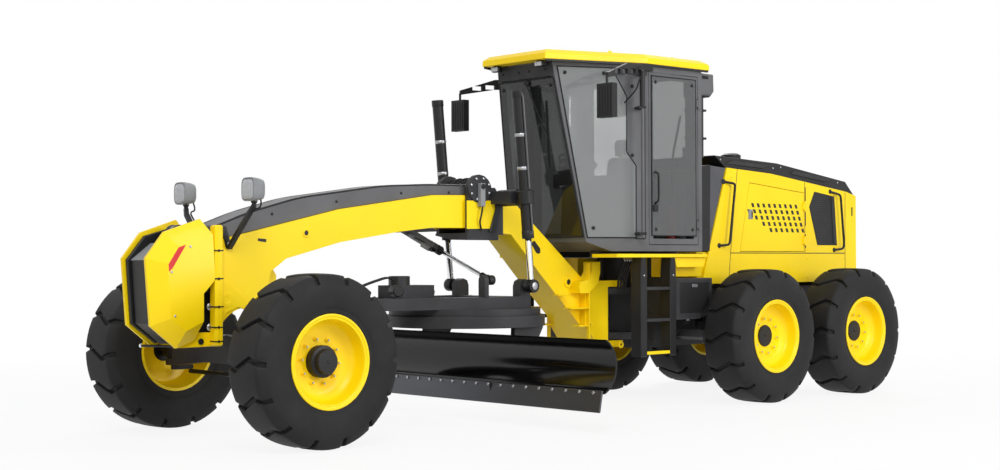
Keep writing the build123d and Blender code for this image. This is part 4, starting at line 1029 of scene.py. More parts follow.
# ------------------------------------------------------------------ cab
CAB_FLOOR, CAB_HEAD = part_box("seat")[0].z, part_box("cab_roof")[0].z
CAB_LEAN = 0.31 / (CAB_HEAD - CAB_FLOOR)  # the windscreen's forward lean
SCREEN_FOOT = -3.545  # ahead of the front axle, at the floor
# each wall plane's foremost place ahead of the front axle, its half width there, and its flare
CAB_NOSE, CAB_NOSE_HALF, PANE_FLARE = -3.235, 0.373, 0.46667
DOOR_FRONT, DOOR_HALF, DOOR_FLARE = -4.09, 0.772, 0.0481


def cab_wall(distance):
    """Half width of the cab's outer wall at a place ahead of the front axle, pane plane then door plane."""
    distance = np.asarray(distance)
    pane = CAB_NOSE_HALF + (CAB_NOSE - distance) * PANE_FLARE
    door = DOOR_HALF + (DOOR_FRONT - distance) * DOOR_FLARE
    return np.where(distance > DOOR_FRONT, pane, door)


def wall_place(distance, side, z, off=0.0):
    """A place on the cab's side wall, moved outward along Y by off."""
    return at(distance, side * (float(cab_wall(distance)) + off), z)


def wall_line(outline, side, off, flare):
    """Places of (ahead, height) corners, so far off the cab's side wall along its normal."""
    normal = np.array([flare, side, 0.0])
    return np.array([wall_place(x, side, z) for x, z in outline]) + normal / np.linalg.norm(normal) * off


def on_wall(outline, side, near, far, flare=PANE_FLARE):
    """Plate on the cab's side wall, from (ahead, height) corners, between two distances off the wall."""
    return skin([wall_line(outline, side, off, flare) for off in (near, far)])


def seal(shell, outline, side, off, radius=0.006, flare=PANE_FLARE):
    """Rubber bead round an outline on the cab's side wall."""
    wall = wall_line(outline, side, off, flare)
    for start, end in zip(wall, np.roll(wall, -1, 0)):
        shell.add(tube([start, end], radius, 8), "rubber")


def screen_station(z):
    """How far ahead of the front axle the windscreen stands at a height."""
    return SCREEN_FOOT + CAB_LEAN * (z - CAB_FLOOR)


def on_screen(y, z, off=0.0):
    """A place on the leaning front of the cab, so far off its face."""
    slope = math.atan(CAB_LEAN)
    return at(screen_station(z), y, z) + np.array([math.cos(slope), 0, -math.sin(slope)]) * off


def screen_sheet(foot, head):
    """(across, height) corners of a sheet on the front of the cab, 18 mm inside its corner posts."""
    low, high = (CAB_NOSE_HALF + (CAB_NOSE - screen_station(z)) * PANE_FLARE - 0.018 for z in (foot, head))
    return [(-low, foot), (low, foot), (high, head), (-high, head)]


def front_window(panes, beads):
    """Windscreen with its bead, the header strip over it, their buttons and the wiper."""
    front = screen_sheet(1.64, 3.13)
    panes.add(skin([[on_screen(y, z, off) for y, z in front] for off in (0.001, 0.007)]), "dark_glass")
    corners = [on_screen(y, z, 0.004) for y, z in front]
    for start, end in zip(corners, corners[1:] + corners[:1]):
        beads.add(tube([start, end], 0.009, 8), "rubber")
    header = screen_sheet(3.145, 3.27)
    beads.add(skin([[on_screen(y, z, off) for y, z in header] for off in (0.0, 0.016)]), "charcoal")
    face = on_screen(0, 2, 1) - on_screen(0, 2, 0)
    for y in (-0.29, -0.07, 0.07, 0.29):
        beads.add(turned(cap(0.011, 0.004, 0.006, 0.007), on_screen(y, 3.208, 0.016), face, 10), "rubber")
    for y in (-0.32, 0.32):
        beads.add(turned(cap(0.018, 0.006, 0.010, 0.010), on_screen(y, 3.06, 0.006), face, 16), "rubber")
    # wiper: motor, arm and blade
    beads.add(turned(cap(0.030, 0.02, 0.020, 0.03), on_screen(0.02, 3.10, 0.008), face, 16), "rubber")
    beads.add(bar(on_screen(0.02, 3.10, 0.030), on_screen(0.20, 2.62, 0.022), 0.012, 0.008, face), "rubber")
    beads.add(bar(on_screen(0.24, 2.92, 0.014), on_screen(0.17, 2.30, 0.014), 0.010, 0.016, face), "rubber")


def side_window(panes, beads, side):
    """Quarter pane with its bead and buttons, the door pillar's plate and the grab pole on it."""
    quarter = [(-3.283, 3.232), (-3.552, 1.63), (-4.070, 1.63), (-4.070, 3.232)]
    panes.add(on_wall(quarter, side, 0.001, 0.007), "side_glass")
    seal(beads, quarter, side, 0.004)
    plate = [
        (-3.775, 3.234), (-3.915, 2.971), (-3.913, 2.443), (-4.000, 2.313), (-4.000, 1.62), (-4.082, 1.62),
        (-4.082, 3.234),
    ]
    beads.add(on_wall(plate, side, 0.007, 0.013), "grey")
    seal(beads, plate, side, 0.010, 0.005)
    out = (0.42, side * 0.9, 0)
    for x, z in ((-3.345, 3.175), (-3.600, 1.72), (-3.960, 3.065), (-3.960, 2.410), (-3.700, 3.180)):
        beads.add(turned(cap(0.017, 0.006, 0.009, 0.010), wall_place(x, side, z, 0.010), out, 16), "rubber")
    pole = at(-3.955, side * 0.858, 0)
    beads.add(tube([pole + (0, 0, 1.63), pole + (0, 0, 3.24)], 0.015, 12), "grey")
    beads.add(turned(cap(0.026, 0.330, 0.020, 0.336), pole + (0, 0, 2.862), UP, 18), "satin")
    for z, deep in ((3.225, 0.034), (2.855, 0.022), (1.665, 0.026)):
        beads.add(
            bar(wall_place(-4.02, side, z, -0.004), pole + (0.01, side * 0.012, z), 0.070, deep), "satin",
        )
    cable = [
        pole + (0.10, -side * 0.14, 2.90), pole + (0.06, -side * 0.02, 3.02), pole + (0.02, 0.0, 3.16),
        pole + (-0.03, 0, 3.23),
    ]
    beads.add(tube(cable, 0.008, 8, 0.05), "rubber")


def door_window(name, side):
    """A door's pane, and its bead, buttons, grip and lock on the door's leaf."""
    body = NODE_BODY[f"cab_door_{name}"]
    pane = [(-4.172, 1.650), (-4.172, 3.178), (-4.788, 3.178), (-4.788, 1.650)]
    glass = Shell(f"door_pane_{name}", body, "window_glass")
    glass.add(on_wall(pane, side, 0.0008, 0.0065, DOOR_FLARE), "door_glass")
    glass.build(smooth=30, replaces=[f"door_glass_{name}"])
    leaf = Shell(f"door_trim_{name}", body)
    seal(leaf, pane, side, 0.004, 0.006, DOOR_FLARE)
    for x, z in ((-4.225, 3.12), (-4.735, 3.12), (-4.225, 1.71), (-4.735, 1.71)):
        place = wall_place(x, side, z, 0.005)
        leaf.add(turned(cap(0.016, 0.005, 0.009, 0.009), place, (0, side, 0), 16), "rubber")
    grip = at(-4.215, side * (float(cab_wall(-4.2)) + 0.006), 0)
    reach = side * 0.045
    rail = [grip + (0, 0, 1.96), grip + (0, reach, 1.98), grip + (0, reach, 2.24), grip + (0, 0, 2.26)]
    leaf.add(tube(rail, 0.010, 10, 0.03), "rubber")
    leaf.add(block(grip + (-0.03, 0, 1.88), grip + (0.035, side * 0.018, 1.95), 0.006), "satin")
    leaf.build(smooth=35)


def build_windows(sizes):
    """Bonded panes with rubber beads, button fasteners, a wiper and the door pillars' plates."""
    panes = Shell("cab_panes", NODE_BODY["cab_frame"], "window_glass")
    beads = Shell("window_beads", NODE_BODY["cab_frame"])
    front_window(panes, beads)
    for side in SIDES:
        side_window(panes, beads, side)
    panes.build(smooth=30, replaces=["cab_glass"])
    beads.build(smooth=35)
    for name, side in HANDS:
        door_window(name, side)



def build_roof_trim(sizes):
    """Lifting eyes, work lamps and gutter on the roof, with the filter box and duct behind the cab."""
    trim = Shell("roof_trim", NODE_BODY["cab_roof"], "yellow_paint")
    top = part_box("cab_roof")[1].z
    turn = np.linspace(0, 2 * np.pi, 12, endpoint=False)
    section = np.stack([0.027 + 0.0085 * np.cos(turn), 0.0085 * np.sin(turn)], 1)
    for x, y in ((-3.98, 0.42), (-4.80, 0.50)):
        for side in SIDES:
            trim.add(turned(section, at(x, side * y, top + 0.024), LEFT, 24, ring=True), "yellow")
            near = at(x - 0.03, side * y - 0.016, top - 0.002)
            far = at(x + 0.03, side * y + 0.016, top + 0.006)
            trim.add(block(near, far, 0.003), "yellow")
    for side in SIDES:
        low = [(-3.110, 0.415), (-4.092, 0.789), (-4.950, 0.828)]
        path = [at(x, side * y, CAB_HEAD - 0.008) for x, y in low]
        for start, end in zip(path[:-1], path[1:]):
            trim.add(bar(start, end, 0.024, 0.020), "satin")
        # work lamps under the front and rear edges
        for x, face in ((-3.160, 1), (-4.935, -1)):
            y = 0.30 if face > 0 else 0.55
            near = at(x - 0.03, side * y - 0.055, CAB_HEAD - 0.060)
            far = at(x + 0.03, side * y + 0.055, CAB_HEAD - 0.004)
            trim.add(block(near, far, 0.010), "satin")
            near = at(x + face * 0.031, side * y - 0.045, CAB_HEAD - 0.054)
            far = at(x + face * 0.036, side * y + 0.045, CAB_HEAD - 0.014)
            trim.add(block(near, far, 0.004), "lens")
    trim.build(smooth=35)

    duct = Shell("filter_box", NODE_BODY["cab_frame"], "grey_paint")
    outline = [(-4.884, 3.262), (-5.098, 3.262), (-5.105, 3.090), (-5.060, 3.045), (-4.884, 3.045)]
    duct.add(prism(stations(outline), 0.56, 0.790, 0.014), "grey")
    duct.add(block(at(-4.912, 0.780, 3.205), at(-5.010, 0.793, 3.238), 0.004), "rubber")
    lip = [(-4.884, 3.050), (-5.072, 3.050), (-5.040, 3.030), (-4.884, 3.030)]
    duct.add(prism(stations(lip), 0.575, 0.775, 0.004), "rubber")
    column = [(-4.884, 3.035), (-5.020, 3.035), (-5.020, 2.460), (-4.975, 2.400), (-4.884, 2.400)]
    duct.add(prism(stations(column), 0.575, 0.700, 0.020), "grey")
    duct.add(tube([at(-5.075, 0.625, 2.440), at(-5.075, 0.625, 3.035)], 0.036, 18), "charcoal")
    for z in (2.62, 2.90):
        duct.add(block(at(-4.884, 0.570, z), at(-5.116, 0.680, z + 0.022), 0.004), "satin")
    # cooler on the rear wall's right
    duct.add(block(at(-4.884, -0.62, 2.92), at(-5.060, -0.18, 3.24), 0.016), "grey")
    for k in range(9):
        duct.add(
            block(at(-5.055, -0.59, 2.945 + 0.032 * k), at(-5.066, -0.21, 2.961 + 0.032 * k), 0.002), "satin",
        )
    duct.build(smooth=35)


def build_interior(sizes):
    """Sprung seat, pedestal with wheel and levers, lining and lamps inside the cab."""
    seat = Shell("operator_seat", NODE_BODY["seat"], "seat_fabric")
    low = CAB_FLOOR
    for fold in low + 0.055 * np.arange(5):
        seat.add(
            block(at(-4.285, -0.13, fold + 0.030), at(-4.535, 0.13, fold + 0.072), 0.014), "pale_plastic",
        )
        seat.add(block(at(-4.295, -0.12, fold + 0.066), at(-4.525, 0.12, fold + 0.092), 0.004), "satin")
    seat.add(block(at(-4.260, -0.17, low), at(-4.560, 0.17, low + 0.035), 0.006), "satin")
    cushion = [
        (-4.165, low + 0.345), (-4.155, low + 0.400), (-4.200, low + 0.452), (-4.420, low + 0.432),
        (-4.620, low + 0.440), (-4.640, low + 0.345),
    ]
    seat.add(prism(stations(cushion), -0.225, 0.225, 0.035), "cloth")
    back = [
        (-4.560, low + 0.440), (-4.545, low + 0.600), (-4.575, low + 0.860), (-4.610, low + 0.895),
        (-4.680, low + 0.880), (-4.695, low + 0.480), (-4.640, low + 0.430),
    ]
    seat.add(prism(stations(back), -0.215, 0.215, 0.045), "cloth")
    head = [
        (-4.600, low + 0.915), (-4.590, low + 1.040), (-4.630, low + 1.075), (-4.690, low + 1.060),
        (-4.692, low + 0.925), (-4.650, low + 0.905),
    ]
    seat.add(prism(stations(head), -0.120, 0.120, 0.030), "cloth")
    for side in SIDES:
        seat.add(
            tube([at(-4.645, side * 0.06, low + 0.86), at(-4.645, side * 0.06, low + 0.95)], 0.008, 8),
            "steel",
        )
        arm = [
            (-4.590, low + 0.575), (-4.250, low + 0.600), (-4.235, low + 0.630), (-4.260, low + 0.655),
            (-4.600, low + 0.645),
        ]
        seat.add(prism(stations(arm), side * 0.222, side * 0.252, 0.010), "plastic")
    seat.build(smooth=40, bevel=0.010, replaces=["seat"], segments=3)

    desk = Shell("steering_pedestal", NODE_BODY["console"], "black_plastic")
    column = [
        (-3.780, low), (-3.960, low), (-3.985, low + 0.42), (-4.010, low + 0.735), (-3.905, low + 0.835),
        (-3.815, low + 0.735), (-3.800, low + 0.40),
    ]
    desk.add(prism(stations(column), -0.080, 0.080, 0.020), "plastic")
    axis = np.array([-0.34, 0, 0.94])
    wheel = at(-3.962, 0, low + 0.826)
    turn = np.linspace(0, 2 * np.pi, 10, endpoint=False)
    rim = np.stack([0.182 + 0.014 * np.cos(turn), 0.014 * np.sin(turn)], 1)
    desk.add(turned(rim, wheel, axis, 44, ring=True), "rubber")
    desk.add(turned([(0.040, -0.040), (0.044, -0.010), (0.036, 0.012)], wheel, axis, 20), "plastic")
    first, second, _ = frame_of(axis)
    for angle in (0.4, 2.5, 4.6):
        spoke = first * math.cos(angle) + second * math.sin(angle)
        desk.add(bar(wheel + spoke * 0.03, wheel + spoke * 0.175, 0.022, 0.010, axis), "plastic")
    for side in SIDES:
        desk.add(
            block(at(-3.800, side * 0.085, low + 0.56), at(-3.940, side * 0.190, low + 0.70), 0.012),
            "plastic",
        )
        for k in range(6):
            foot = at(-3.815 - 0.024 * k, side * (0.105 + 0.010 * (k % 2)), low + 0.69)
            tip = foot + (-0.035 - 0.006 * k, side * 0.030, 0.130 + 0.012 * (k % 3))
            desk.add(tube([foot, (foot + tip) / 2 + (0, side * 0.01, 0.01), tip], 0.0045, 8, 0.02), "steel")
            knob = [(0.006, -0.012), (0.011, 0.0), (0.011, 0.014), (0.005, 0.020)]
            desk.add(turned(knob, tip, tip - foot, 12), "rubber")
    dial = [(-3.815, low + 0.705), (-3.760, low + 0.770), (-3.745, low + 0.765), (-3.785, low + 0.690)]
    desk.add(prism(stations(dial), -0.070, 0.070, 0.008), "plastic")
    desk.build(smooth=40, bevel=0.003, replaces=["console"])

    lining = Shell("cab_lining", NODE_BODY["cab_frame"])
    roof = [
        (-3.360, 0.360), (-4.085, 0.700), (-4.830, 0.735), (-4.830, -0.735), (-4.085, -0.700),
        (-3.360, -0.360),
    ]
    lining.add(prism(stations(roof), CAB_HEAD - 0.045, CAB_HEAD - 0.033, 0.004, "XY"), "pale_plastic")
    mat = [
        (-3.640, 0.465), (-4.085, 0.651), (-4.800, 0.68355), (-4.800, -0.68355), (-4.085, -0.651),
        (-3.640, -0.465),
    ]
    lining.add(prism(stations(mat), low + 0.001, low + 0.008, 0.002, "XY"), "rubber")
    lining.add(block(at(-4.790, -0.66, low + 0.02), at(-4.826, 0.66, low + 0.72), 0.010), "pale_plastic")
    lining.add(block(at(-4.560, -0.690, low + 0.01), at(-4.780, -0.420, low + 0.46), 0.014), "pale_plastic")
    cord = [at(-4.700, 0.58, low + 0.62), at(-4.690, 0.60, low + 0.90), at(-4.780, 0.62, low + 1.28)]
    lining.add(tube(cord, 0.012, 10, 0.05), "rubber")
    lining.add(turned(cap(0.055, 0.34, 0.030, 0.38), at(-4.700, 0.560, low + 0.02), UP, 20), "red")
    lining.add(block(at(-3.400, 0.12, CAB_HEAD - 0.20), at(-3.460, 0.30, CAB_HEAD - 0.08), 0.012), "plastic")
    lining.build(smooth=40)


def build_mirror_trim(sizes):
    """Silvered faces on the rear of the mirrors and ribs down their fronts."""
    trim = Shell("mirror_faces", NODE_BODY["mirrors"], "black_plastic")
    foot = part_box("mirrors")[0].z
    for side in SIDES:
        back = at(-3.3455, side * 1.005, foot)
        trim.add(block(back + (-0.004, -0.082, 0.016), back + (0.0, 0.082, 0.294), 0.002), "mirror")
        for k in range(5):
            rib = at(-3.2755, side * 1.005 + 0.034 * (k - 2), foot)
            trim.add(block(rib + (-0.001, -0.006, 0.02), rib + (0.006, 0.006, 0.29), 0.002), "plastic")
    trim.build(smooth=35)


# ------------------------------------------------------------------ hood
HOOD_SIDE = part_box("hood_door_left")[0].y + 0.024  # outer face of the hood's sides


def hood_plate(outline, side, near, far, edge=0.002):
    """Plate of (ahead, height) corners on the hood's side, between two distances off its face."""
    return prism(stations(outline), side * (HOOD_SIDE + near), side * (HOOD_SIDE + far), edge)


def hood_line(shell, points, side, width=0.007, finish="satin"):
    """A panel gap drawn as a thin dark strip along (ahead, height) points on the hood's side."""
    for (x0, z0), (x1, z1) in zip(points[:-1], points[1:]):
        run = np.array([x1 - x0, z1 - z0]) / math.hypot(x1 - x0, z1 - z0) * width / 2
        across = np.array([-run[1], run[0]])
        corners = [(x0, z0) + across, (x1, z1) + across, (x1, z1) - across, (x0, z0) - across]
        shell.add(hood_plate(corners, side, -0.001, 0.0012, 0.0004), finish)


def build_hood(sizes):
    """Seams, grilles, slanted vents, latches and grab rails on the hood's sides and doors."""
    trim = Shell("hood_trim", NODE_BODY["hood_shell"], "yellow_paint")
    for side in SIDES:
        grille = [(-7.037, 2.157), (-7.409, 2.113), (-7.456, 1.573), (-7.087, 1.573), (-6.940, 1.987)]
        trim.add(hood_plate(grille, side, -0.001, 0.0025), "satin")
        for z in 1.592 + 0.0205 * np.arange(25):
            front = np.interp(z, [1.573, 1.987, 2.157], [-7.087, -6.940, -7.037]) - 0.012
            rear = np.interp(z, [1.573, 2.113], [-7.456, -7.409]) + 0.110
            slat = [(front, z), (rear, z), (rear, z + 0.009), (front, z + 0.009)]
            trim.add(hood_plate(slat, side, 0.002, 0.0065, 0.0015), "charcoal")
        edge = [(-7.345, 2.108), (-7.398, 2.102), (-7.440, 1.585), (-7.385, 1.585)]
        trim.add(hood_plate(edge, side, 0.002, 0.010, 0.003), "charcoal")
        hood_line(trim, [(-5.701, 2.350), (-5.585, 1.486), (-5.554, 1.190)], side)
        hood_line(trim, [(-6.862, 2.254), (-6.862, 1.486)], side)
        hood_line(trim, [(-5.585, 1.486), (-7.609, 1.486)], side, 0.009)
        hood_line(trim, [(-7.616, 2.170), (-7.609, 1.486), (-7.609, 1.190)], side)
        # hinge slots by the rear seam, and the cover's fixings
        for low in (2.050, 1.780, 1.540):
            slot = [(-6.868, low), (-6.880, low), (-6.880, low + 0.150), (-6.868, low + 0.150)]
            trim.add(hood_plate(slot, side, -0.001, 0.003), "satin")
        fixings = [
            (-6.905, 2.205), (-6.905, 1.530), (-5.610, 1.430), (-6.905, 1.430), (-7.580, 1.430),
            (-6.905, 1.230), (-7.590, 2.100), (-5.600, 2.270), (-7.740, 2.040), (-7.740, 1.860),
        ]
        for x, z in fixings:
            trim.add(
                turned(cap(0.011, 0.003, 0.007, 0.006), at(x, side * HOOD_SIDE, z), (0, side, 0), 10),
                "yellow",
            )
        slot = [(-7.735, 1.905), (-7.755, 1.905), (-7.755, 2.000), (-7.735, 2.000)]
        trim.add(hood_plate(slot, side, -0.001, 0.004), "satin")
        # grab rails
        for path in ([(-5.400, 1.562), (-5.500, 1.568), (-5.515, 1.640), (-5.600, 2.195), (-5.480, 2.215)],
                     [(-7.400, 1.522), (-7.500, 1.535), (-7.512, 1.600), (-7.452, 2.130), (-7.330, 2.165)]):
            rail = [at(x, side * (HOOD_SIDE + 0.055), z) for x, z in path]
            rail[0][1] = rail[-1][1] = side * (HOOD_SIDE - 0.004)
            trim.add(tube(rail, 0.0125, 10, 0.035), "satin")
            for foot in (rail[0], rail[-1]):
                trim.add(
                    turned([(0.026, 0.003), (0.026, 0.009), (0.018, 0.013)], foot, (0, side, 0), 14), "satin",
                )
        # cover's embossed panels
        for panel in ([(-5.640, 2.440), (-6.250, 2.412), (-6.130, 2.372), (-5.520, 2.400)],
                      [(-6.690, 2.372), (-7.360, 2.302), (-7.250, 2.268), (-6.620, 2.335)]):
            trim.add(prism(stations(panel), side * 0.578, side * 0.592, 0.010), "charcoal")
        for x, z in ((-5.45, 2.44), (-6.33, 2.385), (-6.46, 2.40), (-7.50, 2.27)):
            trim.add(
                turned(cap(0.010, 0.004, 0.006, 0.006), at(x, side * 0.580, z), (0, side, 0), 8), "steel",
            )
        # charcoal panel ahead of the hood's slanted edge, and the black post before it
        panel = [(-5.275, 2.372), (-5.520, 2.357), (-5.300, 1.700), (-5.262, 1.560)]
        trim.add(prism(stations(panel), side * 0.40, side * 0.592, 0.004), "slate")
        post = [(-5.060, 2.350), (-5.272, 2.378), (-5.258, 1.500), (-5.060, 1.500)]
        trim.add(prism(stations(post), side * 0.40, side * 0.600, 0.006), "satin")
        skirt = [(-5.075, 1.498), (-5.230, 1.498), (-5.125, 1.180), (-5.075, 1.180)]
        trim.add(prism(stations(skirt), side * 0.42, side * 0.575, 0.004), "yellow")
    # exhaust, air cleaner bowl and louvres on the cover
    exhaust = [
        (0.062, -0.06), (0.062, 0.030), (0.050, 0.038), (0.046, 0.160), (0.050, 0.165), (0.050, 0.190),
        (0.038, 0.200),
    ]
    trim.add(turned(exhaust, at(-5.92, -0.26, 2.435), UP, 26), "satin")
    bowl = [(0.090, -0.06), (0.090, 0.060), (0.105, 0.070), (0.105, 0.105), (0.070, 0.125)]
    trim.add(turned(bowl, at(-6.10, 0.20, 2.425), UP, 30), "plastic")
    for k in range(14):
        x = -6.62 - 0.05 * k
        z = float(np.interp(-x, [6.4, 7.65], [2.440, 2.285]))
        trim.add(block(at(x, -0.36, z - 0.004), at(x - 0.028, 0.36, z + 0.007), 0.003), "charcoal")
    trim.build(smooth=35)
    for name, side in HANDS:
        door = Shell(f"hood_door_trim_{name}", NODE_BODY[f"hood_door_{name}"], "yellow_paint")
        for row in range(5):
            count, end, z = 11 - row, -6.695 - 0.030 * row, 1.985 - 0.064 * row
            for k in range(count):
                x = end + 0.0935 * k
                hole = [
                    (x + 0.020, z + 0.021), (x - 0.020, z + 0.021), (x - 0.038, z - 0.021),
                    (x + 0.002, z - 0.021),
                ]
                edge = -5.740 - (z - 1.500) * 0.2222
                if x + 0.030 < edge - 0.010:
                    door.add(hood_plate(hole, side, -0.001, 0.0016, 0.0006), "satin")
        # flush latch
        dish = [(-5.880, 1.938), (-5.955, 1.938), (-5.955, 1.838), (-5.880, 1.838)]
        door.add(hood_plate(dish, side, -0.001, 0.005, 0.003), "pale_plastic")
        grip = [(-5.930, 1.918), (-5.948, 1.918), (-5.948, 1.858), (-5.930, 1.858)]
        door.add(hood_plate(grip, side, 0.004, 0.008, 0.002), "satin")
        door.build(smooth=35)


def build_rear(sizes):
    """Radiator louvres, lamps, reflectors and bolts on the rear."""
    rear = Shell("rear_trim", NODE_BODY["rear_panel"], "dark_paint")
    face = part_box("rear_panel")[0].x
    wall = face + 0.058
    for k in range(22):
        z = 1.345 + 0.0325 * k
        rear.add(block((wall - 0.003, -0.50, z), (wall - 0.018, 0.50, z + 0.016), 0.004), "satin")
    for y in (-0.25, 0.0, 0.25):
        rear.add(block((wall - 0.002, y - 0.012, 1.330), (wall - 0.024, y + 0.012, 2.070), 0.004), "charcoal")
    for side in SIDES:
        rear.add(
            block((face + 0.006, side * 0.40, 1.060), (face - 0.006, side * 0.54, 1.150), 0.008), "satin",
        )
        rear.add(
            block((face + 0.002, side * 0.410, 1.070), (face - 0.009, side * 0.470, 1.140), 0.005), "red",
        )
        rear.add(
            block((face + 0.002, side * 0.476, 1.070), (face - 0.009, side * 0.530, 1.140), 0.005), "amber",
        )
        rear.add(block((face + 0.004, side * 0.20, 1.080), (face - 0.004, side * 0.30, 1.130), 0.004), "red")
        for z in (1.42, 1.90):
            rear.add(
                turned(cap(0.012, 0.006, 0.008, 0.009), (wall - 0.001, side * 0.515, z), (-1, 0, 0), 6),
                "steel",
            )
    rear.build(smooth=35)


# ------------------------------------------------------------------ deck, steps and articulation
def build_steps(sizes):
    """Deck, step plates, grip treads, side boxes and their covers."""
    body = NODE_BODY["platform"]
    deck = Shell("steps", body, "dark_paint")
    plan = [
        (-3.656, 0.481), (-3.656, 0.800), (-3.690, 0.830), (-4.930, 0.830), (-4.944, 0.815), (-4.944, 0.481),
    ]
    for side in SIDES:
        edge = side * 0.830
        deck.add(prism([(ahead(x), side * y) for x, y in plan], 1.4405, 1.4745, 0.004, "XY"), "yellow")
        for x in -3.72 - 0.046 * np.arange(26):
            deck.add(block(at(x, side * 0.62, 1.474), at(x - 0.018, side * 0.81, 1.479), 0.001), "satin")
        for x in (-4.000, -4.420):
            plate = [
                (x + 0.045, 0.500), (x + 0.045, 1.300), (x + 0.030, 1.4395), (x - 0.030, 1.4395),
                (x - 0.045, 1.300), (x - 0.045, 0.500),
            ]
            deck.add(prism(stations(plate), side * 0.700, edge, 0.006), "satin")
            deck.add(turned(cap(0.010, 0.004, 0.006, 0.006), at(x, edge, 1.27), (0, side, 0), 8), "steel")
        for z, finish in ((0.520, "yellow"), (0.830, "charcoal"), (1.130, "charcoal")):
            deck.add(block(at(-4.046, side * 0.705, z), at(-4.374, side * 0.826, z + 0.030), 0.003), finish)
            for x in -4.062 - 0.038 * np.arange(8):
                tread = block(at(x, side * 0.712, z + 0.029), at(x - 0.014, side * 0.820, z + 0.034), 0.001)
                deck.add(tread, "satin")
        box = [(-4.480, 0.840), (-4.480, 1.240), (-5.020, 1.240), (-5.020, 0.980), (-4.840, 0.840)]
        deck.add(prism(stations(box), side * 0.3853, side * 0.825, 0.012), "charcoal")
        cover = [(-4.520, 0.900), (-4.520, 1.200), (-4.960, 1.200), (-4.960, 0.990), (-4.850, 0.900)]
        deck.add(prism(stations(cover), side * 0.824, edge, 0.003), "satin")
        deck.add(block(at(-4.700, side * 0.829, 1.150), at(-4.780, side * 0.833, 1.180), 0.001), "steel")
        # yellow carrier beam over the box, with its tray
        deck.add(block(at(-4.470, side * 0.500, 1.250), at(-5.020, side * 0.690, 1.4395), 0.006), "yellow")
        tray = [(-4.480, 1.4395), (-4.950, 1.4395), (-4.915, 1.345), (-4.510, 1.345)]
        deck.add(prism(stations(tray), side * 0.690, side * 0.800, 0.004), "yellow")
    deck.build(smooth=35, replaces=["platform"])


def build_hinge_trim(sizes):
    """Ribs, guard and hoses round the articulation."""
    front = Shell("articulation_front", NODE_BODY["front_frame"], "yellow_paint")
    for side in SIDES:
        wall = side * 0.2501
        front.add(block(at(-3.815, wall, 0.560), at(-3.830, side * 0.292, 1.390), 0.003), "yellow")
        front.add(
            block(at(-3.560, side * BEAM_SIDE, 0.950), at(-3.810, side * 0.290, 0.966), 0.003), "yellow",
        )
        front.add(
            block(at(-3.680, side * BEAM_SIDE, 0.780), at(-3.815, side * 0.292, 0.796), 0.003), "yellow",
        )
        front.add(
            block(at(-3.420, side * BEAM_SIDE, 1.080), at(-3.560, side * 0.270, 1.096), 0.003), "yellow",
        )
        ring_boss(front, at(-3.700, side * 0.2901, 1.150), side, 0.030, 0.014, "yellow", 0.006)
    front.build(smooth=35)
    hoses = Shell("articulation_hoses", NODE_BODY["rear_frame"])
    for side in SIDES:
        for k in range(4):
            start = at(-4.080 - 0.035 * k, side * 0.505, 1.435)
            run = [
                start, start + (0.02, -side * 0.005, -0.08), start + (0.06, -side * 0.02, -0.20),
                start + (0.03, -side * 0.06, -0.30),
            ]
            hoses.add(tube(run, 0.010, 8, 0.05), "rubber")
            hoses.add(turned(cap(0.013, 0.03, 0.010, 0.034), start + (0, 0, -0.030), UP, 8), "steel")
    hoses.build(smooth=40)


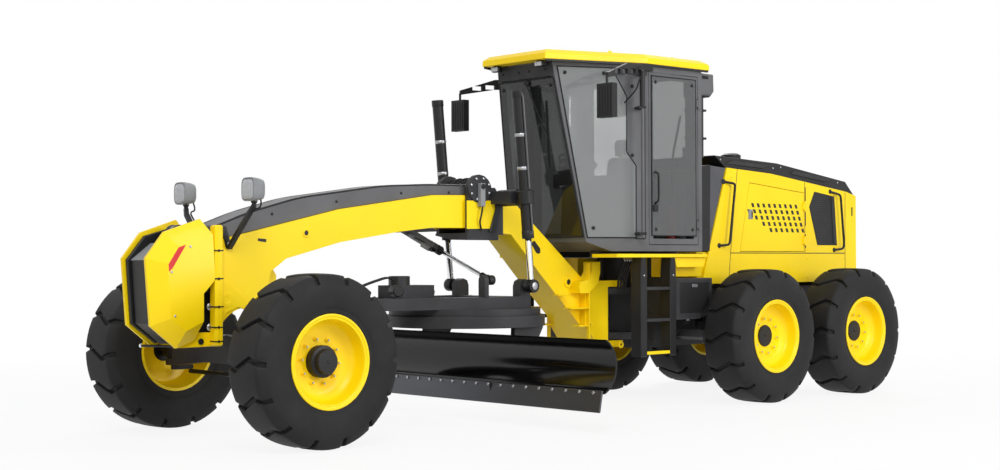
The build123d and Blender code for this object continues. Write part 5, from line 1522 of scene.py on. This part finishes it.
# ------------------------------------------------------------------ drawbar, circle, cylinders and blade
def build_linkage_trim(sizes):
    """Covers on the saddle, the drive gearbox, and cylinder heads, rod seals and hoses of the blade gear."""
    saddle = Shell("saddle_plates", NODE_BODY["saddle"], "dark_paint")
    cheek = 0.2204
    for side in SIDES:
        panel = [
            (-2.302, 1.955), (-2.600, 1.962), (-2.716, 1.890), (-2.630, 1.690), (-2.565, 1.706),
            (-2.302, 1.700),
        ]
        saddle.add(prism(stations(panel), side * cheek, side * (cheek + 0.003), 0.001), "yellow")
        arm = [
            (-2.610, 1.990), (-2.735, 1.975), (-2.712, 1.890), (-2.634, 1.680), (-2.566, 1.676),
            (-2.648, 1.895),
        ]
        saddle.add(prism(stations(arm), side * cheek, side * (cheek + 0.022), 0.006), "satin")
        turn = np.linspace(0.35, 0.35 + 2 * np.pi, 33)[:-1]
        disc = [(ahead(-2.455 + 0.142 * math.cos(a)), 2.062 + 0.125 * math.sin(a)) for a in turn]
        saddle.add(prism(disc, side * cheek, side * (cheek + 0.014), 0.005), "charcoal")
        for a in turn[::4]:
            place = at(-2.455 + 0.115 * math.cos(a), side * (cheek + 0.014), 2.062 + 0.100 * math.sin(a))
            saddle.add(turned(cap(0.013, 0.008, 0.008, 0.012), place, (0, side, 0), 6), "steel")
        valve = at(-2.455, side * (cheek + 0.030), 0)
        saddle.add(bar(valve + (0, 0, 2.115), valve + (0, 0, 1.905), 0.045, 0.055, FORWARD), "pale_plastic")
        plug = [(0.024, -0.03), (0.024, 0.050), (0.018, 0.056)]
        saddle.add(turned(plug, at(-2.455, side * (cheek + 0.010), 2.085), (0, side, 0), 16), "satin")
        pipe = [
            at(-2.470, side * 0.256, 1.930), at(-2.445, side * 0.262, 1.830), at(-2.430, side * 0.250, 1.760),
            at(-2.470, side * 0.236, 1.690),
        ]
        saddle.add(tube(pipe, 0.008, 8, 0.05), "rubber")
    saddle.build(smooth=35)

    gear = Shell("drive_gearbox", NODE_BODY["drawbar"], "dark_paint")
    deck = 1.094
    case = [
        (-1.720, deck + 0.100), (-1.720, deck + 0.030), (-2.020, deck + 0.002), (-2.035, deck + 0.050),
        (-1.990, deck + 0.092),
    ]
    gear.add(prism(stations(case), -0.110, 0.110, 0.014), "pale_plastic")
    gear.add(turned(cap(0.088, 0.070, 0.076, 0.078), at(-1.700, 0, deck + 0.110), UP, 30), "charcoal")
    for a in np.linspace(0, 2 * np.pi, 8, endpoint=False):
        place = at(-1.700 + 0.080 * math.cos(a), 0.080 * math.sin(a), deck + 0.176)
        gear.add(turned(cap(0.010, 0.008, 0.006, 0.011), place, UP, 6), "steel")
    gear.add(
        turned(cap(0.052, 0.100, 0.044, 0.108), at(-1.560, 0.100, deck + 0.060), (0.3, 1, 0), 22), "satin",
    )
    for k in range(3):
        start = at(-1.600 - 0.03 * k, 0.05 - 0.05 * k, deck + 0.150)
        run = [start, start + (0.06, 0, 0.030), start + (0.24, -0.02, -0.02), start + (0.36, -0.03, -0.060)]
        gear.add(tube(run, 0.009, 8, 0.06), "rubber")
    # bolts round the hanging plate
    for a in np.linspace(0, 2 * np.pi, 16, endpoint=False) + 0.1:
        place = at(-2.470 + 0.640 * math.cos(a), 0.640 * math.sin(a), 0.950)
        gear.add(turned(cap(0.016, 0.010, 0.010, 0.014), place, UP, 6), "steel")
    gear.build(smooth=35)

    for name, side in HANDS:
        foot = at(-2.790, side * 0.552, 1.185)
        head = at(-2.713, side * 0.552, 1.985)
        axis = (head - foot) / np.linalg.norm(head - foot)
        barrel = Shell(f"lift_cylinder_{name}", NODE_BODY[f"lift_barrel_{name}"], "black_paint")
        barrel.add(
            turned([(0.054, 0.431), (0.0555, 0.436), (0.0555, 0.500), (0.053, 0.504)], foot, axis, 28),
            "satin",
        )
        barrel.add(
            turned([(0.053, 1.700), (0.056, 1.706), (0.056, 1.757), (0.052, 1.762)], foot, axis, 28), "satin",
        )
        near, far = np.array([0.0, side * 0.0496, 0.0]), np.array([0.0, side * 0.06572, 0.0])
        for pipe in ([axis * 0.470 + near, axis * 0.500 + far, axis * 0.760 + far],
                     [axis * 0.880 + far, axis * 1.700 + far, axis * 1.735 + near]):
            barrel.add(tube([foot + bend for bend in pipe], 0.008, 8, 0.02), "grey")
        clamp = np.array([(0.0525, 0.0), (0.0545, 0.003), (0.0545, 0.027), (0.0525, 0.030)])
        for height in (1.05, 1.35):
            barrel.add(turned(clamp + (0, height), foot, axis, 28), "steel")
        barrel.build(smooth=35)
        rod = Shell(f"lift_foot_{name}", NODE_BODY[f"lift_rod_{name}"])
        out = np.array([0.0, side, 0.0])
        rod.add(
            turned([(0.030, 0.048), (0.040, 0.050), (0.040, 0.058), (0.033, 0.062)], foot, axis, 24), "satin",
        )
        rod.add(
            turned([(0.0585, -0.041), (0.061, -0.034), (0.061, 0.034), (0.0585, 0.041)], foot, out, 30),
            "satin",
        )
        rod.add(turned([(0.034, 0.0395), (0.034, 0.046), (0.026, 0.050)], foot, out, 24), "steel")
        rod.build(smooth=35)

    top, end = at(-2.420, -0.850, 1.729), at(-2.420, 0.400, 1.241)
    line = (end - top) / np.linalg.norm(end - top)
    swing = Shell("swing_cylinder", NODE_BODY["swing_barrel"], "dark_paint")
    swing.add(
        turned([(0.041, 0.560), (0.044, 0.565), (0.044, 0.612), (0.040, 0.618)], top, line, 24), "satin",
    )
    swing.add(
        turned([(0.041, 0.170), (0.0425, 0.174), (0.0425, 0.540), (0.041, 0.544)], top, line, 24), "grey",
    )
    up = np.cross(line, FORWARD)
    up = up * np.sign(up[2])
    middle = top + line * 0.47 + (0.050, 0, -0.012)
    swing.add(bar(middle - line * 0.06, middle + line * 0.06, 0.040, 0.060, FORWARD), "pale_plastic")
    swing.add(bar(middle + line * 0.05, middle + line * 0.10, 0.028, 0.042, FORWARD), "satin")
    hose = [
        middle - line * 0.05 + up * 0.02, middle - line * 0.12 + up * 0.024,
        middle - line * 0.20 + up * 0.014,
    ]
    swing.add(tube(hose, 0.008, 8, 0.04), "rubber")
    hose = [
        middle + line * 0.05 + up * 0.01, middle + line * 0.09 + up * 0.018,
        top + line * 0.60 + (0.030, 0, 0.0),
    ]
    swing.add(tube(hose, 0.008, 8, 0.03), "rubber")
    swing.build(smooth=35)
    foot = Shell("swing_foot", NODE_BODY["swing_rod"])
    foot.add(
        turned([(0.020, -0.125), (0.029, -0.118), (0.029, -0.060), (0.036, -0.045)], end, line, 20), "satin",
    )
    foot.add(
        turned([(0.0425, -0.031), (0.0445, -0.026), (0.0445, 0.026), (0.0425, 0.031)], end, (1, 0, 0), 26),
        "satin",
    )
    foot.build(smooth=35)


def build_blade_trim(sizes):
    """Bolt row and joints on the cutting edge, and ribs behind the mouldboard."""
    blade = Shell("blade_trim", NODE_BODY["mouldboard"], "black_paint")
    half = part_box("mouldboard")[1].y
    edge_low, edge_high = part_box("cutting_edge")
    middle = ahead(-2.205)  # the blade's station
    # bolt heads stand square to the leaning edge, 160 mm apart
    lean = np.array([0.98, 0.0, 0.19])
    for y in np.linspace(-half + 0.09, half - 0.09, 25):
        bolt = [(0.014, -0.002), (0.014, 0.006), (0.010, 0.009)]
        blade.add(turned(bolt, (middle + 0.0195, y, 0.340), lean, 10), "steel")
    for y in (-0.662, 0.662):
        near = (middle + 0.012, y - 0.0015, edge_low.z + 0.004)
        far = (middle + 0.030, y + 0.0015, edge_high.z - 0.006)
        blade.add(block(near, far, 0.0005), "satin")
    rib = [(middle - 0.172, 0.45), (middle - 0.180, 0.66), (middle - 0.168, 0.66), (middle - 0.160, 0.45)]
    for y in (-1.30, -0.45, 0.45, 1.30):
        blade.add(prism(rib, y - 0.012, y + 0.012, 0.002), "satin")
    blade.build(smooth=35)


# ------------------------------------------------------------------ settings
class GraderSizes(bpy.types.PropertyGroup):
    """Sizes of the trim, in metres."""

    lugs: IntProperty(name="Tread lugs", default=14, min=8, max=24)
    zigzag: FloatProperty(name="Groove zigzag", default=0.046, min=0.0, max=0.08, subtype="DISTANCE")
    studs: IntProperty(name="Wheel studs", default=10, min=6, max=20)
    edge: FloatProperty(name="Edge rounding", default=0.006, min=0.0, max=0.02, subtype="DISTANCE")


class GraderPaint(bpy.types.PropertyGroup):
    """Colours of the paint."""

    body: FloatVectorProperty(
        name="Body", subtype="COLOR_GAMMA", size=3, min=0, max=1, default=(1.0, 0.867, 0.0),
    )


class GraderStage(bpy.types.PropertyGroup):
    """Light and camera."""

    fill: FloatProperty(name="Surround strength", default=0.62, min=0.0, max=5.0)
    key: FloatProperty(name="Key power", default=1080.0, min=0.0, max=20000.0)
    lens: FloatProperty(name="Lens", default=55.56, min=10.0, max=300.0)


# ------------------------------------------------------------------ operators
class GRADER_OT_finishes(bpy.types.Operator):
    """Makes every finish."""

    bl_idname = "grader.finishes"
    bl_label = "Finishes"

    def execute(self, context):
        """Fills the table of materials."""
        make_finishes(context.scene.grader_paint)
        return {"FINISHED"}


class GRADER_OT_tyres(bpy.types.Operator):
    """Six tyres with zigzag transverse grooves between broad lugs."""

    bl_idname = "grader.tyres"
    bl_label = "Tyres"

    def execute(self, context):
        """Builds the group from the scene's settings; a fault in it stops the script."""
        build_tyres(context.scene.grader_sizes)
        return {"FINISHED"}


class GRADER_OT_rims(bpy.types.Operator):
    """Six rims with rolled lips, a deep dish, ten studs, a hub and a valve."""

    bl_idname = "grader.rims"
    bl_label = "Rims"

    def execute(self, context):
        """Builds the group from the scene's settings; a fault in it stops the script."""
        build_rims(context.scene.grader_sizes)
        return {"FINISHED"}


class GRADER_OT_nose(bpy.types.Operator):
    """Folded wings with reflectors either side of a black core, and the bolted flange behind them."""

    bl_idname = "grader.nose"
    bl_label = "Nose"

    def execute(self, context):
        """Builds the group from the scene's settings; a fault in it stops the script."""
        build_nose(context.scene.grader_sizes)
        return {"FINISHED"}


class GRADER_OT_lamps(bpy.types.Operator):
    """Rounded head lamps on bent arms, with struts down to the beam."""

    bl_idname = "grader.lamps"
    bl_label = "Lamps"

    def execute(self, context):
        """Builds the group from the scene's settings; a fault in it stops the script."""
        build_lamps(context.scene.grader_sizes)
        return {"FINISHED"}


class GRADER_OT_beam_trim(bpy.types.Operator):
    """Bosses, slots and cheek plates on the beam's sides, its cover's edge and the hoses over it."""

    bl_idname = "grader.beam_trim"
    bl_label = "Beam trim"

    def execute(self, context):
        """Builds the group from the scene's settings; a fault in it stops the script."""
        build_beam_trim(context.scene.grader_sizes)
        return {"FINISHED"}


class GRADER_OT_windows(bpy.types.Operator):
    """Bonded panes with rubber beads, button fasteners, a wiper and the door pillars' plates."""

    bl_idname = "grader.windows"
    bl_label = "Windows"

    def execute(self, context):
        """Builds the group from the scene's settings; a fault in it stops the script."""
        build_windows(context.scene.grader_sizes)
        return {"FINISHED"}


class GRADER_OT_roof_trim(bpy.types.Operator):
    """Lifting eyes, work lamps and gutter on the roof, with the filter box and duct behind the cab."""

    bl_idname = "grader.roof_trim"
    bl_label = "Roof trim"

    def execute(self, context):
        """Builds the group from the scene's settings; a fault in it stops the script."""
        build_roof_trim(context.scene.grader_sizes)
        return {"FINISHED"}


class GRADER_OT_interior(bpy.types.Operator):
    """Sprung seat, pedestal with wheel and levers, lining and lamps inside the cab."""

    bl_idname = "grader.interior"
    bl_label = "Interior"

    def execute(self, context):
        """Builds the group from the scene's settings; a fault in it stops the script."""
        build_interior(context.scene.grader_sizes)
        return {"FINISHED"}


class GRADER_OT_mirror_trim(bpy.types.Operator):
    """Silvered faces on the rear of the mirrors and ribs down their fronts."""

    bl_idname = "grader.mirror_trim"
    bl_label = "Mirror trim"

    def execute(self, context):
        """Builds the group from the scene's settings; a fault in it stops the script."""
        build_mirror_trim(context.scene.grader_sizes)
        return {"FINISHED"}


class GRADER_OT_hood(bpy.types.Operator):
    """Seams, grilles, slanted vents, latches and grab rails on the hood's sides and doors."""

    bl_idname = "grader.hood"
    bl_label = "Hood"

    def execute(self, context):
        """Builds the group from the scene's settings; a fault in it stops the script."""
        build_hood(context.scene.grader_sizes)
        return {"FINISHED"}


class GRADER_OT_rear(bpy.types.Operator):
    """Radiator louvres, lamps, reflectors and bolts on the rear."""

    bl_idname = "grader.rear"
    bl_label = "Rear"

    def execute(self, context):
        """Builds the group from the scene's settings; a fault in it stops the script."""
        build_rear(context.scene.grader_sizes)
        return {"FINISHED"}


class GRADER_OT_steps(bpy.types.Operator):
    """Deck, step plates, grip treads, side boxes and their covers."""

    bl_idname = "grader.steps"
    bl_label = "Steps"

    def execute(self, context):
        """Builds the group from the scene's settings; a fault in it stops the script."""
        build_steps(context.scene.grader_sizes)
        return {"FINISHED"}


class GRADER_OT_hinge_trim(bpy.types.Operator):
    """Ribs, guard and hoses round the articulation."""

    bl_idname = "grader.hinge_trim"
    bl_label = "Hinge trim"

    def execute(self, context):
        """Builds the group from the scene's settings; a fault in it stops the script."""
        build_hinge_trim(context.scene.grader_sizes)
        return {"FINISHED"}


class GRADER_OT_linkage_trim(bpy.types.Operator):
    """Covers on the saddle, the drive gearbox, and cylinder heads, rod seals and hoses of the blade gear."""

    bl_idname = "grader.linkage_trim"
    bl_label = "Linkage trim"

    def execute(self, context):
        """Builds the group from the scene's settings; a fault in it stops the script."""
        build_linkage_trim(context.scene.grader_sizes)
        return {"FINISHED"}


class GRADER_OT_blade_trim(bpy.types.Operator):
    """Bolt row and joints on the cutting edge, and ribs behind the mouldboard."""

    bl_idname = "grader.blade_trim"
    bl_label = "Blade trim"

    def execute(self, context):
        """Builds the group from the scene's settings; a fault in it stops the script."""
        build_blade_trim(context.scene.grader_sizes)
        return {"FINISHED"}


class GRADER_OT_skins(bpy.types.Operator):
    """Rounds the edges of every node that no other group rebuilds, and paints it."""

    bl_idname = "grader.skins"
    bl_label = "Skins"

    def execute(self, context):
        """Builds the group from the scene's settings; a fault in it stops the script."""
        build_skins(context.scene.grader_sizes)
        return {"FINISHED"}


class GRADER_OT_stage(bpy.types.Operator):
    """Pale floor, soft light from the machine's left and front, white surround and the camera."""

    bl_idname = "grader.stage"
    bl_label = "Stage"

    def execute(self, context):
        """Builds the group from the scene's settings; a fault in it stops the script."""
        build_stage(context.scene.grader_stage)
        return {"FINISHED"}


class GRADER_PT_panel(bpy.types.Panel):
    """Sizes, colours and the buttons that build each group."""

    bl_idname = "GRADER_PT_panel"
    bl_label = "Motor Grader"
    bl_space_type = "VIEW_3D"
    bl_region_type = "UI"
    bl_category = "Grader"

    def draw(self, context):
        """Lists the settings, then one button per group."""
        for group in (context.scene.grader_sizes, context.scene.grader_paint, context.scene.grader_stage):
            for name in group.bl_rna.properties.keys():
                if name not in ("rna_type", "name"):
                    self.layout.prop(group, name)
        for step in STEPS:
            self.layout.operator(step.bl_idname)


STEPS = (
    GRADER_OT_finishes,
    GRADER_OT_tyres,
    GRADER_OT_rims,
    GRADER_OT_nose,
    GRADER_OT_lamps,
    GRADER_OT_beam_trim,
    GRADER_OT_windows,
    GRADER_OT_roof_trim,
    GRADER_OT_interior,
    GRADER_OT_mirror_trim,
    GRADER_OT_hood,
    GRADER_OT_rear,
    GRADER_OT_steps,
    GRADER_OT_hinge_trim,
    GRADER_OT_linkage_trim,
    GRADER_OT_blade_trim,
    GRADER_OT_skins,
    GRADER_OT_stage,
)
CLASSES = (GraderSizes, GraderPaint, GraderStage, *STEPS, GRADER_PT_panel)


def register():
    """Registers the classes and hangs the settings on the scene."""
    for item in CLASSES:
        bpy.utils.register_class(item)
    bpy.types.Scene.grader_sizes = PointerProperty(type=GraderSizes)
    bpy.types.Scene.grader_paint = PointerProperty(type=GraderPaint)
    bpy.types.Scene.grader_stage = PointerProperty(type=GraderStage)


def unregister():
    """Takes the settings and the classes away again."""
    del bpy.types.Scene.grader_stage
    del bpy.types.Scene.grader_paint
    del bpy.types.Scene.grader_sizes
    for item in reversed(CLASSES):
        bpy.utils.unregister_class(item)


def main():
    """Registers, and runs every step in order."""
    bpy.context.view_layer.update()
    register()
    bpy.ops.grader.finishes()
    bpy.ops.grader.tyres()
    bpy.ops.grader.rims()
    bpy.ops.grader.nose()
    bpy.ops.grader.lamps()
    bpy.ops.grader.beam_trim()
    bpy.ops.grader.windows()
    bpy.ops.grader.roof_trim()
    bpy.ops.grader.interior()
    bpy.ops.grader.mirror_trim()
    bpy.ops.grader.hood()
    bpy.ops.grader.rear()
    bpy.ops.grader.steps()
    bpy.ops.grader.hinge_trim()
    bpy.ops.grader.linkage_trim()
    bpy.ops.grader.blade_trim()
    bpy.ops.grader.skins()
    bpy.ops.grader.stage()


if __name__ == "__main__":
    main()
